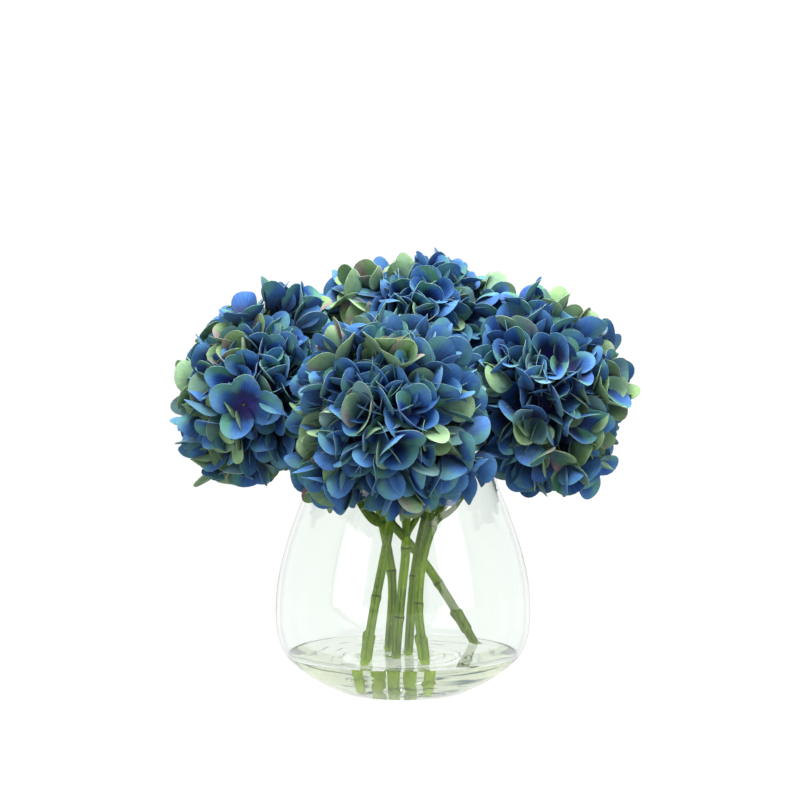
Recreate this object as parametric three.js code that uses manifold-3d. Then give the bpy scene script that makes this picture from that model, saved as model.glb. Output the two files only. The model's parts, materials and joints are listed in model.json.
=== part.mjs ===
// Six blue-green hydrangea stems standing in a rounded clear glass vase.
//
// The vase holds a shallow set pour of clear resin that looks like water and grips the cut stems.
// Each stem is a jointed green stalk with a fork of twigs, and it carries one domed head of florets.
// A floret is a cup of four petals. The heads press on each other and hang over the rim of the vase.
//
// Millimetres, +Z up, +Y to the back. The origin is the centre of the vase's foot.
import * as THREE from "three";
import { mergeVertices } from "three/addons/utils/BufferGeometryUtils.js";
import Module from "manifold-3d";

const wasm = await Module();
wasm.setup();

// Driving dimensions of the vase, with its outer wall above the foot as the radius at each height
const FOOT_RADIUS = 44;
const VASE_HEIGHT = 168;
const RIM_RADIUS = 65;
const RIM_ROUND = 1;
const WALL = 3;
const FLOOR = 9;
const FLOOR_RADIUS = 54;
const ROUND_SIDES = 32;
const OUTER_WALL = [
  [52, 3],
  [62, 8],
  [74, 16],
  [86.5, 28],
  [91.8, 42],
  [93.1, 58],
  [91.6, 80],
  [86, 105],
  [77.5, 130],
  [69, 152],
];

// Driving dimensions of the pour and the stems
const POUR_LEVEL = 28;
const GAP = 0.3;
const STALK_RADIUS = 3.3;
const STALK_SIDES = 6;
const STALK_STEPS = 9;
const JOINT_RADIUS = 3.9;
const JOINT_LENGTH = 4;
const SLEEVE_RADIUS = 4.3;
const SLEEVE_LENGTH = 16;
const COLLAR_TAPER = 0.4;
const TWIGS = 3;
const TWIG_SIDES = 4;
const TWIG_ROOT_RADIUS = 2.1;
const TWIG_TIP_RADIUS = 1.4;
const TWIG_SPREAD = 26;
const TWIG_TURN = 42;
const FORK_SUNK = 1.5;
const TWIG_SUNK = 4;

// Driving dimensions of the heads. A petal is a corner between petals and two points on its rounded end,
// each as a turn in degrees, a share of the floret's radius and a share of its height.
const DOME_UP = 60;
const DOME_DOWN = 52;
const CORE_DEPTH = 19;
const CORE_SIDES = 12;
const CORE_RINGS = [25, 50, 72];
const CORE_UNDERSIDE = 24;
const CORE_UNDERSIDE_SHARE = 0.88;
const FLORETS = 20;
const LOWEST_FLORET = -0.5;
const FLORET_RADIUS = 25;
const FLORET_HEIGHT = 14;
const NEAREST_RIM = 0.93;
const FURTHEST_RIM = 0.98;
const PETALS = 4;
const PETAL_OUTLINE = [
  [0, 0.64, 0.45],
  [28, 1, 1],
  [62, 1, 1],
];
const PETAL_THICKNESS = 1.3;
const ROOT = 8;
const GOLDEN_ANGLE = Math.PI * (3 - Math.sqrt(5));
const SEED = 7;

// Each head: its centre, the way it faces and its radius. Each stem: the points that its stalk follows,
// from its cut end to just under its head, and where along it the stalk has a joint or a torn sleeve.
const BLOOMS = [
  {
    name: "front",
    centre: [-11, -82, 210],
    faces: [-0.1, -0.93, 0.35],
    radius: 77,
    stalk: [[-5, -13, 10.6], [-5, -15, 28], [-1, -19, 75], [2, -24, 108], [0, -34, 142], [-4, -46, 178]],
    joints: [0.26, 0.56],
    sleeves: [],
  },
  {
    name: "left",
    centre: [-103, -5, 222],
    faces: [-0.87, -0.42, 0.2],
    radius: 75,
    stalk: [[57, 42.5, 21.5], [54, 41, 28], [16, 24, 90], [-12, 13, 124], [-34, 6, 146], [-66, 6, 184]],
    joints: [0.3, 0.62],
    sleeves: [0.13],
  },
  {
    name: "right",
    centre: [101, -8, 218],
    faces: [0.82, -0.52, 0.2],
    radius: 77,
    stalk: [[16, -38, 10.6], [15, -34, 28], [11, -22, 65], [16, -14, 105], [32, -6, 142], [62, 7, 180]],
    joints: [0.3, 0.6],
    sleeves: [0.13],
  },
  {
    name: "top",
    centre: [11, 30, 261],
    faces: [0.03, 0.2, 0.97],
    radius: 73,
    stalk: [[-28, -41, 10.6], [-26.5, -37, 28], [-20, -29, 68], [-12, -16, 108], [-5, 2, 148], [1, 26, 204]],
    joints: [0.3, 0.66],
    sleeves: [0.13],
  },
  {
    name: "back_left",
    centre: [-66, 104, 229],
    faces: [-0.5, 0.8, 0.3],
    radius: 67,
    stalk: [[-11, 20, 10.6], [-10.5, 19, 28], [-8, 15, 75], [-12, 17, 104], [-29, 41, 165], [-44, 66, 198]],
    joints: [0.36, 0.6],
    sleeves: [],
  },
  {
    name: "back_right",
    centre: [66, 104, 229],
    faces: [0.5, 0.8, 0.3],
    radius: 67,
    stalk: [[3, 1, 10.6], [4, 0, 28], [7, 0, 72], [12, 5, 106], [29, 41, 165], [44, 66, 198]],
    joints: [0.34, 0.6],
    sleeves: [],
  },
];

const MATERIALS = {
  glass: { color: 0xf2f8f5, roughness: 0.03, metalness: 0, transparent: true, opacity: 0.25 },
  resin: { color: 0xf4f9f2, roughness: 0.05, metalness: 0, transparent: true, opacity: 0.35 },
  stem: { color: 0x6f9440, roughness: 0.55, metalness: 0 },
  petals: { color: 0x2a5f9e, roughness: 0.7, metalness: 0 },
};

function radians(degrees) {
  return (degrees * Math.PI) / 180;
}

function vector(point) {
  return new THREE.Vector3(...point);
}

// The same numbers on every run, from a small multiplying generator
function randomNumbers(seed) {
  const multiplier = 16807;
  const modulus = 2147483647;
  let state = seed;
  return () => {
    state = (state * multiplier) % modulus;
    return state / modulus;
  };
}

// Two unit vectors square to a direction and to each other
function crossAxes(direction) {
  const sideways = new THREE.Vector3(0, 0, 1).cross(direction).normalize();
  return [sideways, direction.clone().cross(sideways)];
}

// Turns +Z to a direction and moves the origin to a point
function placement(point, direction) {
  const turn = new THREE.Quaternion().setFromUnitVectors(new THREE.Vector3(0, 0, 1), direction);
  return new THREE.Matrix4().compose(point, turn, new THREE.Vector3(1, 1, 1));
}

// A closed three.js geometry as a solid that can be joined and cut
function solidFrom(geometry) {
  const bare = geometry.index ? geometry.toNonIndexed() : geometry.clone();
  bare.deleteAttribute("normal");
  bare.deleteAttribute("uv");
  const merged = mergeVertices(bare, 1e-4);
  const mesh = new wasm.Mesh({
    numProp: 3,
    vertProperties: merged.attributes.position.array,
    triVerts: new Uint32Array(merged.index.array),
  });
  mesh.merge();
  return new wasm.Manifold(mesh);
}

function geometryFrom(solid) {
  const mesh = solid.getMesh();
  const geometry = new THREE.BufferGeometry();
  geometry.setAttribute("position", new THREE.BufferAttribute(mesh.vertProperties, 3));
  geometry.setIndex(new THREE.BufferAttribute(mesh.triVerts, 1));
  return geometry;
}

// A solid's largest body, without the scraps that a cut leaves loose
function largestBody(solid) {
  return solid.decompose().reduce((a, b) => (b.volume() > a.volume() ? b : a));
}

function turned(profile, sides) {
  const points = profile.map(([radius, height]) => new THREE.Vector2(radius, height));
  return new THREE.LatheGeometry(points, sides).rotateX(Math.PI / 2);
}

function taperedRod(from, to, fromRadius, toRadius, sides) {
  const along = to.clone().sub(from);
  const rod = new THREE.CylinderGeometry(toRadius, fromRadius, along.length(), sides).rotateX(Math.PI / 2);
  const middle = from.clone().addScaledVector(along, 0.5);
  return solidFrom(rod.applyMatrix4(placement(middle, along.normalize())));
}

// Vase: one turned shell with a heavy floor. A growth above zero makes a copy that is thicker on both
// sides, which cuts the clearance in whatever hangs over the rim.
function innerWall() {
  const aboveFloor = OUTER_WALL.filter(([, height]) => height > FLOOR + WALL);
  return aboveFloor.map(([radius, height]) => [radius - WALL, height]);
}

function vaseSolid(growth = 0) {
  const outer = OUTER_WALL.map(([radius, height]) => [radius + growth, height]);
  const inner = innerWall().map(([radius, height]) => [radius - growth, height]);
  const profile = [
    [0, -growth],
    [FOOT_RADIUS + growth, -growth],
    ...outer,
    [RIM_RADIUS + growth, VASE_HEIGHT - RIM_ROUND + growth],
    [RIM_RADIUS - WALL / 2, VASE_HEIGHT + growth],
    [RIM_RADIUS - WALL - growth, VASE_HEIGHT - RIM_ROUND + growth],
    ...inner.reverse(),
    [FLOOR_RADIUS - growth, FLOOR + growth],
    [0, FLOOR + growth],
  ];
  return solidFrom(turned(profile, ROUND_SIDES));
}

// Pour: it fills the bottom of the vase, clear of the glass by the gap, which is doubled sideways because
// the wall slopes
function pourSolid() {
  const sideGap = 2 * GAP;
  const below = innerWall().filter(([, height]) => height < POUR_LEVEL);
  const [radiusAtLevel] = innerWall().find(([, height]) => height >= POUR_LEVEL);
  const profile = [
    [0, FLOOR + GAP],
    [FLOOR_RADIUS - sideGap, FLOOR + GAP],
    ...below.map(([radius, height]) => [radius - sideGap, height]),
    [radiusAtLevel - sideGap, POUR_LEVEL],
    [0, POUR_LEVEL],
  ];
  return solidFrom(turned(profile, ROUND_SIDES));
}

// Stalk: a bent rod that follows the stem's points
function stalkSolid(curve, radius) {
  const corners = [];
  for (let side = 0; side < STALK_SIDES; side += 1) {
    const angle = (2 * Math.PI * side) / STALK_SIDES;
    corners.push(new THREE.Vector2(radius * Math.cos(angle), radius * Math.sin(angle)));
  }
  const section = new THREE.Shape(corners);
  const settings = { steps: STALK_STEPS, extrudePath: curve, bevelEnabled: false };
  return solidFrom(new THREE.ExtrudeGeometry(section, settings));
}

// Stem: a stalk with raised joints, torn sleeves near its foot and a fork of twigs under the head.
// A growth above zero makes a fatter copy, which cuts the clearance in whatever the stem stands in.
function stemSolid(bloom, growth = 0) {
  const curve = new THREE.CatmullRomCurve3(bloom.stalk.map(vector), false, "centripetal");
  let stem = stalkSolid(curve, STALK_RADIUS + growth);
  const collars = bloom.joints.map((at) => [at, JOINT_RADIUS, JOINT_LENGTH]);
  for (const at of bloom.sleeves) collars.push([at, SLEEVE_RADIUS, SLEEVE_LENGTH]);
  if (growth) collars.push([0, SLEEVE_RADIUS, 0]);
  for (const [at, radius, length] of collars) {
    const middle = curve.getPointAt(at);
    const along = curve.getTangentAt(at).multiplyScalar(length / 2 + growth);
    const from = middle.clone().sub(along);
    const to = middle.clone().add(along);
    stem = stem.add(taperedRod(from, to, radius + growth, radius + growth - COLLAR_TAPER, STALK_SIDES));
  }
  const up = vector(bloom.faces).normalize();
  const [sideways, across] = crossAxes(up);
  const fork = curve.getPointAt(1).addScaledVector(curve.getTangentAt(1), -FORK_SUNK);
  for (let twig = 0; twig < TWIGS; twig += 1) {
    const angle = radians(TWIG_TURN + (360 * twig) / TWIGS);
    const tip = vector(bloom.centre).addScaledVector(up, TWIG_SUNK - CORE_UNDERSIDE);
    tip.addScaledVector(sideways, TWIG_SPREAD * Math.cos(angle));
    tip.addScaledVector(across, TWIG_SPREAD * Math.sin(angle));
    tip.addScaledVector(tip.clone().sub(fork).normalize(), 2 * growth);
    stem = stem.add(taperedRod(fork, tip, TWIG_ROOT_RADIUS + growth, TWIG_TIP_RADIUS + growth, TWIG_SIDES));
  }
  return stem;
}

// How far a head's dome reaches from its centre in a direction
function domeReach(bloom, direction) {
  const rise = direction.dot(vector(bloom.faces).normalize());
  const height = rise > 0 ? DOME_UP : DOME_DOWN;
  return 1 / Math.sqrt((1 - rise ** 2) / bloom.radius ** 2 + rise ** 2 / height ** 2);
}

// The planes where neighbouring heads press on this one, each as its outward direction and distance
function pressedSides(bloom) {
  const sides = [];
  for (const other of BLOOMS) {
    if (other === bloom) continue;
    const towards = vector(other.centre).sub(vector(bloom.centre));
    const distance = towards.length();
    towards.normalize();
    const own = domeReach(bloom, towards);
    const others = domeReach(other, towards.clone().negate());
    if (own + others + FLORET_RADIUS > distance) {
      sides.push({ towards, distance: (distance * own) / (own + others) });
    }
  }
  return sides;
}

// The same reach, held back where a neighbour presses
function pressedReach(bloom, sides, direction) {
  let reach = domeReach(bloom, direction);
  for (const side of sides) {
    const share = direction.dot(side.towards);
    if (share > 0) reach = Math.min(reach, side.distance / share);
  }
  return reach;
}

// How far out from a floret's axis its rim may go one way before it meets the next floret or the next head
function roomOutwards(rimCentre, direction, outwards, neighbours, sides) {
  const height = rimCentre.length();
  let room = FLORET_RADIUS;
  for (const neighbour of neighbours) {
    const share = outwards.dot(neighbour);
    if (share > 0) room = Math.min(room, (height * (1 - direction.dot(neighbour)) - GAP) / share);
  }
  for (const side of sides) {
    const share = outwards.dot(side.towards);
    const spare = side.distance - GAP - rimCentre.dot(side.towards);
    if (share > 0) room = Math.min(room, Math.max(spare, 0) / share);
  }
  return room;
}

// Floret: a cup of four petals that opens outwards, measured from the centre of its head. The rim of its
// underside is the upper rim moved straight down its axis, and the middle runs down to a root in the core.
function floretGeometry(direction, reach, spin, neighbours, sides) {
  const [sideways, across] = crossAxes(direction);
  const bottom = direction.clone().multiplyScalar(reach - FLORET_HEIGHT);
  const upper = [bottom];
  for (let petal = 0; petal < PETALS; petal += 1) {
    for (const [turn, share, rise] of PETAL_OUTLINE) {
      const angle = spin + radians((360 * petal) / PETALS + turn);
      const outwards = sideways.clone().multiplyScalar(Math.cos(angle)).addScaledVector(across, Math.sin(angle));
      const rimCentre = bottom.clone().addScaledVector(direction, FLORET_HEIGHT * rise);
      const room = roomOutwards(rimCentre, direction, outwards, neighbours, sides);
      upper.push(rimCentre.addScaledVector(outwards, room * share));
    }
  }
  const lower = upper.map((point, i) => point.clone().addScaledVector(direction, i ? -PETAL_THICKNESS : -ROOT));
  const below = upper.length;
  const rimPoints = below - 1;
  const faces = [];
  for (let i = 0; i < rimPoints; i += 1) {
    const here = 1 + i;
    const next = 1 + ((i + 1) % rimPoints);
    faces.push([0, here, next], [below, below + next, below + here]);
    faces.push([here, below + here, below + next], [here, below + next, next]);
  }
  const geometry = new THREE.BufferGeometry().setFromPoints([...upper, ...lower]);
  geometry.setIndex(faces.flat());
  return geometry;
}

// A block that covers everything past a plane
function blockPast(bloom, side, inset) {
  const size = 400;
  const block = new THREE.BoxGeometry(size, size, size);
  const middle = vector(bloom.centre).addScaledVector(side.towards, side.distance - inset + size / 2);
  return solidFrom(block.applyMatrix4(placement(middle, side.towards)));
}

// Core: the dome that the florets stand out of, flat underneath and held back like them
function coreSolid(bloom, sides) {
  const radius = bloom.radius - CORE_DEPTH;
  const height = DOME_UP - CORE_DEPTH;
  const rings = CORE_RINGS.map((ring) => [radius * Math.cos(radians(ring)), height * Math.sin(radians(ring))]);
  const underside = [radius * CORE_UNDERSIDE_SHARE, -CORE_UNDERSIDE];
  const dome = turned([[0, -CORE_UNDERSIDE], underside, [radius, 0], ...rings, [0, height]], CORE_SIDES);
  dome.applyMatrix4(placement(vector(bloom.centre), vector(bloom.faces).normalize()));
  return sides.reduce((core, side) => core.subtract(blockPast(bloom, side, CORE_DEPTH)), solidFrom(dome));
}

// Head: florets spread over the dome in a spiral, held back where a neighbour presses, and fused to the core
function headSolid(bloom, keepClear) {
  const random = randomNumbers(SEED + BLOOMS.indexOf(bloom));
  const up = vector(bloom.faces).normalize();
  const [sideways, across] = crossAxes(up);
  const sides = pressedSides(bloom);
  const directions = [];
  for (let i = 0; i < FLORETS; i += 1) {
    const rise = 1 - ((i + 0.5) / FLORETS) * (1 - LOWEST_FLORET);
    const out = Math.sqrt(1 - rise ** 2);
    const angle = i * GOLDEN_ANGLE;
    const direction = up.clone().multiplyScalar(rise);
    direction.addScaledVector(sideways, out * Math.cos(angle));
    direction.addScaledVector(across, out * Math.sin(angle));
    directions.push(direction.normalize());
  }
  let head = coreSolid(bloom, sides);
  for (const direction of directions) {
    const neighbours = directions.filter((other) => other !== direction);
    const share = NEAREST_RIM + (FURTHEST_RIM - NEAREST_RIM) * random();
    const spin = 2 * Math.PI * random();
    const reach = share * pressedReach(bloom, sides, direction);
    const floret = floretGeometry(direction, reach, spin, neighbours, sides);
    head = head.add(solidFrom(floret.translate(...bloom.centre)));
  }
  for (const solid of keepClear) head = head.subtract(solid);
  return largestBody(head);
}

function part(name, solid, look) {
  const mesh = new THREE.Mesh(geometryFrom(solid), new THREE.MeshStandardMaterial(MATERIALS[look]));
  mesh.name = name;
  return mesh;
}

const arrangement = new THREE.Group();
const fatVase = vaseSolid(GAP);
const fatStems = BLOOMS.map((bloom) => stemSolid(bloom, GAP));
const pour = fatStems.reduce((rest, stem) => rest.subtract(stem), pourSolid());
arrangement.add(part("vase", vaseSolid(), "glass"));
arrangement.add(part("resin_pour", pour, "resin"));
for (const bloom of BLOOMS) {
  arrangement.add(part(`stem_${bloom.name}`, stemSolid(bloom), "stem"));
  arrangement.add(part(`head_${bloom.name}`, headSolid(bloom, [fatVase, ...fatStems]), "petals"));
}

export default arrangement;
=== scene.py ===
import json
import math
from collections import namedtuple

import bmesh
import bpy
import numpy as np
from bpy.props import FloatProperty, FloatVectorProperty, IntProperty, PointerProperty
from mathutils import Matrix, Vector

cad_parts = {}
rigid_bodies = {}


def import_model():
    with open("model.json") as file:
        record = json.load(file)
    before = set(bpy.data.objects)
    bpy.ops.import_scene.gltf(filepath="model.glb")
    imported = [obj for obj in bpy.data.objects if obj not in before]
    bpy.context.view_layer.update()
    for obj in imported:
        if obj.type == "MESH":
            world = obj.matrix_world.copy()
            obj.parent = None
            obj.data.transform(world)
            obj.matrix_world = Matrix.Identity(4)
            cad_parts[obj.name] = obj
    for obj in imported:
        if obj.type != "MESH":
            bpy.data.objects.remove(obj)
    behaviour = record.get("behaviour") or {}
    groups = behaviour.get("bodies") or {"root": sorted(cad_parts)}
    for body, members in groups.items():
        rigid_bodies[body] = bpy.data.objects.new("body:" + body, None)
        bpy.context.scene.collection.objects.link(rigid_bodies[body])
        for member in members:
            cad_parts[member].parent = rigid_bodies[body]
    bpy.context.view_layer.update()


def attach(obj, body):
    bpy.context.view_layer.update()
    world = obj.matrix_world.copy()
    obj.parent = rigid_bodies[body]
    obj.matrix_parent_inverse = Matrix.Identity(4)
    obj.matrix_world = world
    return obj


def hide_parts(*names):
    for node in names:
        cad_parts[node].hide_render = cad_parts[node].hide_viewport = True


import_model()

bl_info = {
    "name": "Hydrangeas in a glass vase",
    "version": (1, 0, 0),
    "blender": (4, 5, 0),
    "location": "3D View > Sidebar > Hydrangeas",
    "description": "Dresses six hydrangea stems, their vase and its clear pour over the solids",
    "category": "Add Mesh",
}

# The object's lengths below are in millimetres. Meshes and the stage are in metres.
MM = 0.001
ROOT_BODY = "root"
UP = np.array([0.0, 0.0, 1.0])
FULL_TURN = 2 * math.pi
GOLDEN_ANGLE = math.pi * (3 - math.sqrt(5))

# The vase's foot, with a shallow hollow under it, and its outer wall above that, as radius and height
FOOT_RADIUS = 44
FOOT = [(0, 0.8), (FOOT_RADIUS - 14, 0.8), (FOOT_RADIUS - 8, 0.3), (FOOT_RADIUS - 5, 0), (FOOT_RADIUS, 0)]
VASE_HEIGHT = 168
RIM_RADIUS = 65
OUTER_WALL = [
    (52, 3), (62, 8), (74, 16), (86.5, 28), (91.8, 42),
    (93.1, 58), (91.6, 80), (86, 105), (77.5, 130), (69, 152),
]
HALF_WALL = 1.5
# The floor inside is flat, with a ring at its middle, and starts to curve up near its own radius
FLOOR_MIDDLE = 30
FLOOR_RADIUS = 54

# Each head's centre, the way it faces and its radius. Then its stem's course, the height of its fork and the
# places of its joints and torn sleeves as shares of its length. Then the spot that its florets part from, how
# far they open, from nought to one, where the head swells or sinks seen from the front, as degrees from the
# right, width in degrees and height, and the tips of florets that stand out of its dome.
Bloom = namedtuple(
    "Bloom",
    "centre faces radius stalk fork joints parting sleeves openness swells outlying",
    defaults=((), 0.38, (), ()),
)
LARGE_RADIUS = 77
BLOOMS = {
    "front": Bloom(
        centre=(-11, -82, 210),
        faces=(-0.1, -0.93, 0.35),
        radius=LARGE_RADIUS,
        stalk=[(-5, -13, 10.6), (-5, -15, 28), (-1, -19, 75), (2, -24, 108), (0, -34, 142), (-4, -46, 178)],
        fork=113,
        joints=[0.26, 0.56],
        parting=(-0.1, -0.98, 0.1),
        openness=0.3,
        swells=[(236, 14, 15), (256, 12, -6), (278, 14, 6), (304, 12, 7)],
        outlying=[
            (-7, -42, 138), (5, -45, 163), (3, -96, 170), (-20, -46, 162), (24, -46, 164), (-30, -92, 151),
            (-8, -94, 148), (16, -92, 149), (36, -88, 152), (66, -50, 166), (38, -36, 143), (18, -40, 142),
            (-32, -42, 143), (52, -82, 157), (-62, -82, 146), (-44, -86, 144), (-79, -72, 164),
            (58, -22, 150),
        ],
    ),
    "left": Bloom(
        centre=(-103, -5, 222),
        faces=(-0.87, -0.42, 0.2),
        radius=75,
        stalk=[(57, 42.5, 21.5), (54, 41, 28), (16, 24, 90), (-12, 13, 124), (-34, 6, 146), (-66, 6, 184)],
        fork=118,
        joints=[0.3, 0.62],
        parting=(0.15, -0.97, 0.1),
        sleeves=[0.13],
        swells=[
            (144, 20, -16), (88, 9, -14), (270, 18, -3), (240, 14, 6),
            (224, 14, 2), (194, 14, -6), (58, 10, 16),
        ],
        outlying=[(-92, -16, 300), (-78, -20, 297), (-62, -28, 292), (-163, -12, 229), (-140, -20, 160)],
    ),
    "right": Bloom(
        centre=(101, -8, 218),
        faces=(0.82, -0.52, 0.2),
        radius=LARGE_RADIUS,
        stalk=[(16, -38, 10.6), (15, -34, 28), (11, -22, 65), (16, -14, 105), (32, -6, 142), (62, 7, 180)],
        fork=122,
        joints=[0.3, 0.6],
        parting=(-0.25, -0.96, 0.08),
        sleeves=[0.13],
        swells=[
            (262, 16, 8), (-50, 10, 10), (-12, 10, -6), (2, 8, 10), (30, 9, 9),
            (42, 9, -19), (60, 10, 9), (70, 8, -5), (90, 10, -2),
        ],
        outlying=[(84, -20, 300), (110, -18, 291), (120, -60, 150), (72, -30, 162)],
    ),
    "top": Bloom(
        centre=(11, 30, 261),
        faces=(0.03, 0.2, 0.97),
        radius=73,
        stalk=[
            (-28, -41, 10.6), (-26.5, -37, 28), (-20, -29, 68), (-12, -16, 108), (-5, 2, 148), (1, 26, 204)
        ],
        fork=126,
        joints=[0.3, 0.66],
        parting=(0, -0.6, 0.8),
        sleeves=[0.13],
        swells=[(152, 14, 19), (27, 9, 17), (42, 9, -18), (60, 10, 2), (90, 10, -4), (118, 14, -12)],
        outlying=[(-54, 6, 288), (-46, -4, 300), (-30, 4, 308), (-60, 22, 278), (24, 10, 322), (48, 14, 311)],
    ),
    "back_left": Bloom(
        centre=(-66, 104, 229),
        faces=(-0.5, 0.8, 0.3),
        radius=67,
        stalk=[
            (-11, 20, 10.6), (-10.5, 19, 28), (-8, 15, 75), (-12, 17, 104), (-29, 41, 165), (-44, 66, 198)
        ],
        fork=120,
        joints=[0.36, 0.6],
        parting=(-0.5, 0.8, 0.3),
    ),
    "back_right": Bloom(
        centre=(66, 104, 229),
        faces=(0.5, 0.8, 0.3),
        radius=67,
        stalk=[(3, 1, 10.6), (4, 0, 28), (7, 0, 72), (12, 5, 106), (29, 41, 165), (44, 66, 198)],
        fork=124,
        joints=[0.34, 0.6],
        parting=(0.5, 0.8, 0.3),
    ),
}
# How far a dome reaches ahead of and behind its centre, and how near two domes come before they press
DOME_UP = 60
DOME_DOWN = 52
PRESS_MARGIN = 25

# Where green florets show from the front, as the distance right of the vase's axis and the height, and
# between which distances from such a place the green fades
GREEN_PATCHES = [
    (-15, 249), (-57, 257), (-59, 204), (-59, 181), (-58, 146), (-77, 158), (-6, 141), (14, 145), (27, 194),
    (58, 228), (-120, 262), (-113, 252), (-139, 166), (-155, 228), (-129, 199), (-75, 297), (106, 290),
    (136, 257), (144, 246), (89, 184), (107, 163), (136, 181), (154, 217), (-42, 297), (-20, 308),
    (5, 315), (-38, 272),
]
GREEN_FADE = (7, 15)


def unit(vector):
    """The vector, or each row of them, at length one."""
    vector = np.asarray(vector, float)
    return vector / np.linalg.norm(vector, axis=-1, keepdims=True)


def smooth(value, low, high):
    """Nought below low, one above high and smooth between them."""
    share = np.clip((value - low) / (high - low), 0, 1)
    return share * share * (3 - 2 * share)


def linear(red, green, blue):
    """A colour as it looks on screen, from 0 to 255, as the linear colour that shaders use."""
    shares = np.array([red, green, blue]) / 255
    low = shares / 12.92
    high = ((shares + 0.055) / 1.055) ** 2.4
    return tuple(float(x) for x in np.where(shares <= 0.04045, low, high))


def colour_property(name, description, *screen):
    return FloatVectorProperty(
        name=name, description=description, subtype="COLOR", size=3, min=0, max=1, default=linear(*screen)
    )


def length_property(name, description, millimetres):
    return FloatProperty(
        name=name, description=description, unit="LENGTH", min=0, default=millimetres * MM, precision=4
    )


def count_property(name, description, default, least=1):
    return IntProperty(name=name, description=description, default=default, min=least)


def number_property(name, description, default, least=0.0, **limits):
    return FloatProperty(name=name, description=description, default=default, min=least, **limits)


def place_property(name, description, default):
    return FloatVectorProperty(name=name, description=description, subtype="TRANSLATION", default=default)


# Node trees, for materials and for geometry alike
def operator_for(operation, swapped=False):
    """A Python operator of a socket, which adds a Math node. Swapped, the socket comes second."""

    def apply(socket, other):
        values = (other, socket) if swapped else (socket, other)
        return socket.tree.math(operation, *values)

    return apply


class Socket:
    """One output of a node, on which Python's operators add Math nodes."""

    __add__ = __radd__ = operator_for("ADD")
    __mul__ = __rmul__ = operator_for("MULTIPLY")
    __sub__ = operator_for("SUBTRACT")
    __rsub__ = operator_for("SUBTRACT", swapped=True)
    __truediv__ = operator_for("DIVIDE")
    __rtruediv__ = operator_for("DIVIDE", swapped=True)
    __pow__ = operator_for("POWER")
    __mod__ = operator_for("MODULO")

    def __init__(self, tree, output):
        self.tree = tree
        self.output = output

    def beside(self, name):
        """Another output of the same node."""
        return Socket(self.tree, first_named(self.output.node.outputs, name))

    def math(self, operation, *others):
        return self.tree.math(operation, self, *others)

    def __abs__(self):
        return self.math("ABSOLUTE")

    def parts(self):
        """A vector's X, Y and Z."""
        first = self.tree.add("ShaderNodeSeparateXYZ", {0: self})
        return first, first.beside("Y"), first.beside("Z")

    def ramp(self, low, high):
        """Nought below low, one above high and smooth between them."""
        inputs = {"Value": self, "From Min": low, "From Max": high}
        return self.tree.add("ShaderNodeMapRange", inputs, interpolation_type="SMOOTHSTEP")


# Several outputs that go to one socket
Joined = namedtuple("Joined", "parts")


def first_named(sockets, name):
    """The first socket of that name that its node has switched on."""
    return next(s for s in sockets if s.name == name and s.enabled)


class Tree:
    """A node tree that is written as Python expressions."""

    def __init__(self, made):
        self.made = made

    def add(self, kind, inputs=None, output=0, **settings):
        """A node of any kind, with its settings first and then its sockets."""
        node = self.made.nodes.new(kind)
        for name, value in settings.items():
            setattr(node, name, value)
        for name, value in (inputs or {}).items():
            socket = node.inputs[name] if isinstance(name, int) else first_named(node.inputs, name)
            if isinstance(value, Socket):
                self.made.links.new(value.output, socket)
            elif isinstance(value, Joined):
                for part in value.parts:
                    self.made.links.new(part.output, socket)
            else:
                socket.default_value = value
        found = node.outputs[output] if isinstance(output, int) else first_named(node.outputs, output)
        return Socket(self, found)

    def math(self, operation, *values):
        return self.add("ShaderNodeMath", dict(enumerate(values)), operation=operation)

    def vector_math(self, operation, inputs, output=0):
        return self.add("ShaderNodeVectorMath", inputs, output, operation=operation)

    def mix(self, factor, first, second):
        """A colour between two others."""
        inputs = {"Factor": factor, "A": opaque(first), "B": opaque(second)}
        return self.add("ShaderNodeMix", inputs, output="Result", data_type="RGBA", clamp_factor=True)

    def brighten(self, colour, amount):
        """A colour multiplied by a number."""
        grey = self.add("ShaderNodeCombineColor", {"Red": amount, "Green": amount, "Blue": amount})
        inputs = {"Factor": 1.0, "A": opaque(colour), "B": grey}
        return self.add("ShaderNodeMix", inputs, output="Result", data_type="RGBA", blend_type="MULTIPLY")

    def noise(self, place, scale, detail=2.0):
        return self.add("ShaderNodeTexNoise", {"Vector": place, "Scale": scale, "Detail": detail})

    def bump(self, height, distance, strength=1.0):
        inputs = {"Height": height, "Distance": distance, "Strength": strength}
        return self.add("ShaderNodeBump", inputs)


def opaque(colour):
    return colour if isinstance(colour, Socket) else (*colour, 1)


class Finish(Tree):
    """A material's node tree."""

    def __init__(self, name):
        self.material = bpy.data.materials.new(name)
        self.material.use_nodes = True
        super().__init__(self.material.node_tree)
        self.made.nodes.clear()

    def attribute(self, name, output="Fac"):
        return self.add("ShaderNodeAttribute", output=output, attribute_name=name)

    def place(self):
        return self.add("ShaderNodeTexCoord", output="Object")

    def principled(self, inputs):
        return self.add("ShaderNodeBsdfPrincipled", inputs)

    def see_through(self, tint):
        """Lets light straight through, tinted."""
        return self.add("ShaderNodeBsdfTransparent", {"Color": opaque(tint)})

    def blend(self, factor, first, second):
        """The first shader where the factor is nought and the second where it is one."""
        return self.add("ShaderNodeMixShader", {0: factor, 1: first, 2: second})

    def surface(self, shader):
        """The finished material."""
        output = self.made.nodes.new("ShaderNodeOutputMaterial")
        self.made.links.new(shader.output, output.inputs["Surface"])
        return self.material


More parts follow.
